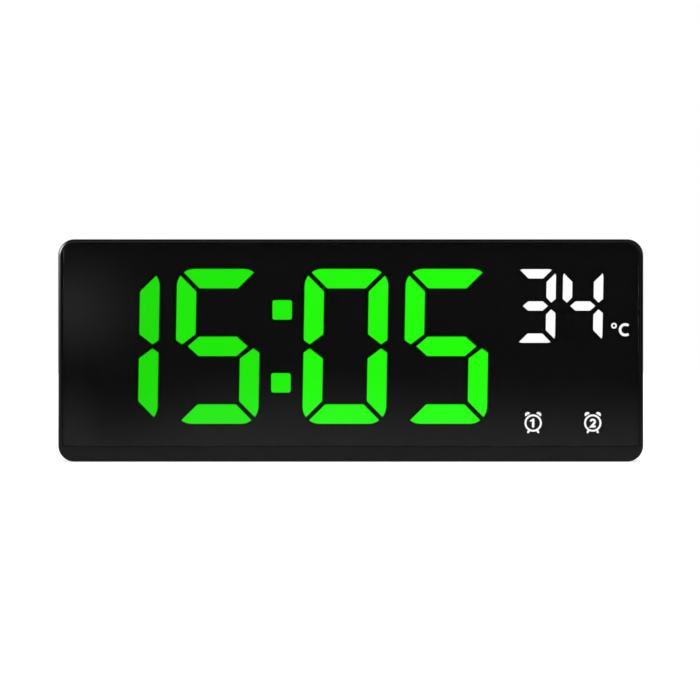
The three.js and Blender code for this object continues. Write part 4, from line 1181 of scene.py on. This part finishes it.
def soft_lamp(name, place, width, height, radiance):
    """A soft box facing the clock; its power is radiance times pi times its area.

    Turns about X and then Z point it along the way from its place to the clock's middle.
    """
    data = bpy.data.lights.new(name, "AREA")
    data.shape = "RECTANGLE"
    data.size, data.size_y = width, height
    data.energy = radiance * math.pi * width * height
    lamp = placed(name, data)
    lamp.location = place
    way = np.subtract(CLOCK_MIDDLE, place)
    x, y, z = way / np.linalg.norm(way)
    lamp.rotation_euler = (math.acos(-z), 0.0, math.atan2(-x, y))
    lamp.visible_camera = False


def photo_camera(sizes):
    """A level camera straight before the face that takes in what the photograph shows."""
    data = bpy.data.cameras.new("camera")
    data.sensor_width = sizes.sensor
    data.lens = sizes.sensor * sizes.camera_distance / PHOTO_WIDTH
    data.clip_end = 100.0
    camera = placed("camera", data)
    camera.location = (PHOTO_MIDDLE[0], CASE_LOW.y - sizes.camera_distance, PHOTO_MIDDLE[1])
    camera.rotation_euler = (math.radians(90), 0.0, 0.0)
    bpy.context.scene.camera = camera


class CLOCK_OT_stage(bpy.types.Operator):
    """Make the floor, the lamps and the camera"""

    bl_idname = "clock.stage"
    bl_label = "Studio"

    def execute(self, context):
        scene = context.scene
        sizes, room = scene.clock_stage, scene.clock_room
        room_world(room.room_light)
        pale_floor(sizes.floor_radius)
        dark_screen(room.screen_tone, sizes.camera_distance)
        for name, form in SOFT_BOXES.items():
            soft_lamp(name, *form)
        pale_card(room.card_tone)
        photo_camera(sizes)
        scene.view_settings.view_transform = "Standard"
        return {"FINISHED"}


OPERATORS = (
    CLOCK_OT_front, CLOCK_OT_window, CLOCK_OT_figures, CLOCK_OT_signs, CLOCK_OT_back,
    CLOCK_OT_boards, CLOCK_OT_battery, CLOCK_OT_screws, CLOCK_OT_stage,
)
GROUPS = {
    "clock_case": ClockCaseSizes, "clock_figures": ClockFigureSizes,
    "clock_cells": ClockCellSizes, "clock_colours": ClockColours,
    "clock_stage": ClockStageSizes, "clock_room": ClockStageRoom,
}


class CLOCK_PT_panel(bpy.types.Panel):
    """Lists the clock's sizes and the steps that make it"""

    bl_idname = "CLOCK_PT_panel"
    bl_label = "Alarm clock"
    bl_space_type = "VIEW_3D"
    bl_region_type = "UI"
    bl_category = "Clock"

    def draw(self, context):
        """A box of values for each group, then a button for each step."""
        for group in GROUPS:
            values = getattr(context.scene, group)
            box = self.layout.box()
            for key in values.__annotations__:
                box.prop(values, key)
        for step in OPERATORS:
            self.layout.operator(step.bl_idname)


CLASSES = (*GROUPS.values(), *OPERATORS, CLOCK_PT_panel)


def register():
    """Adds the classes, and each group of values to the scene."""
    for kind in CLASSES:
        bpy.utils.register_class(kind)
    for name, kind in GROUPS.items():
        setattr(bpy.types.Scene, name, bpy.props.PointerProperty(type=kind))


def unregister():
    """Takes them away again."""
    for name in GROUPS:
        delattr(bpy.types.Scene, name)
    for kind in reversed(CLASSES):
        bpy.utils.unregister_class(kind)


def main():
    """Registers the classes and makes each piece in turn."""
    register()
    for step in OPERATORS:
        group, action = step.bl_idname.split(".")
        getattr(getattr(bpy.ops, group), action)()


if __name__ == "__main__":
    main()
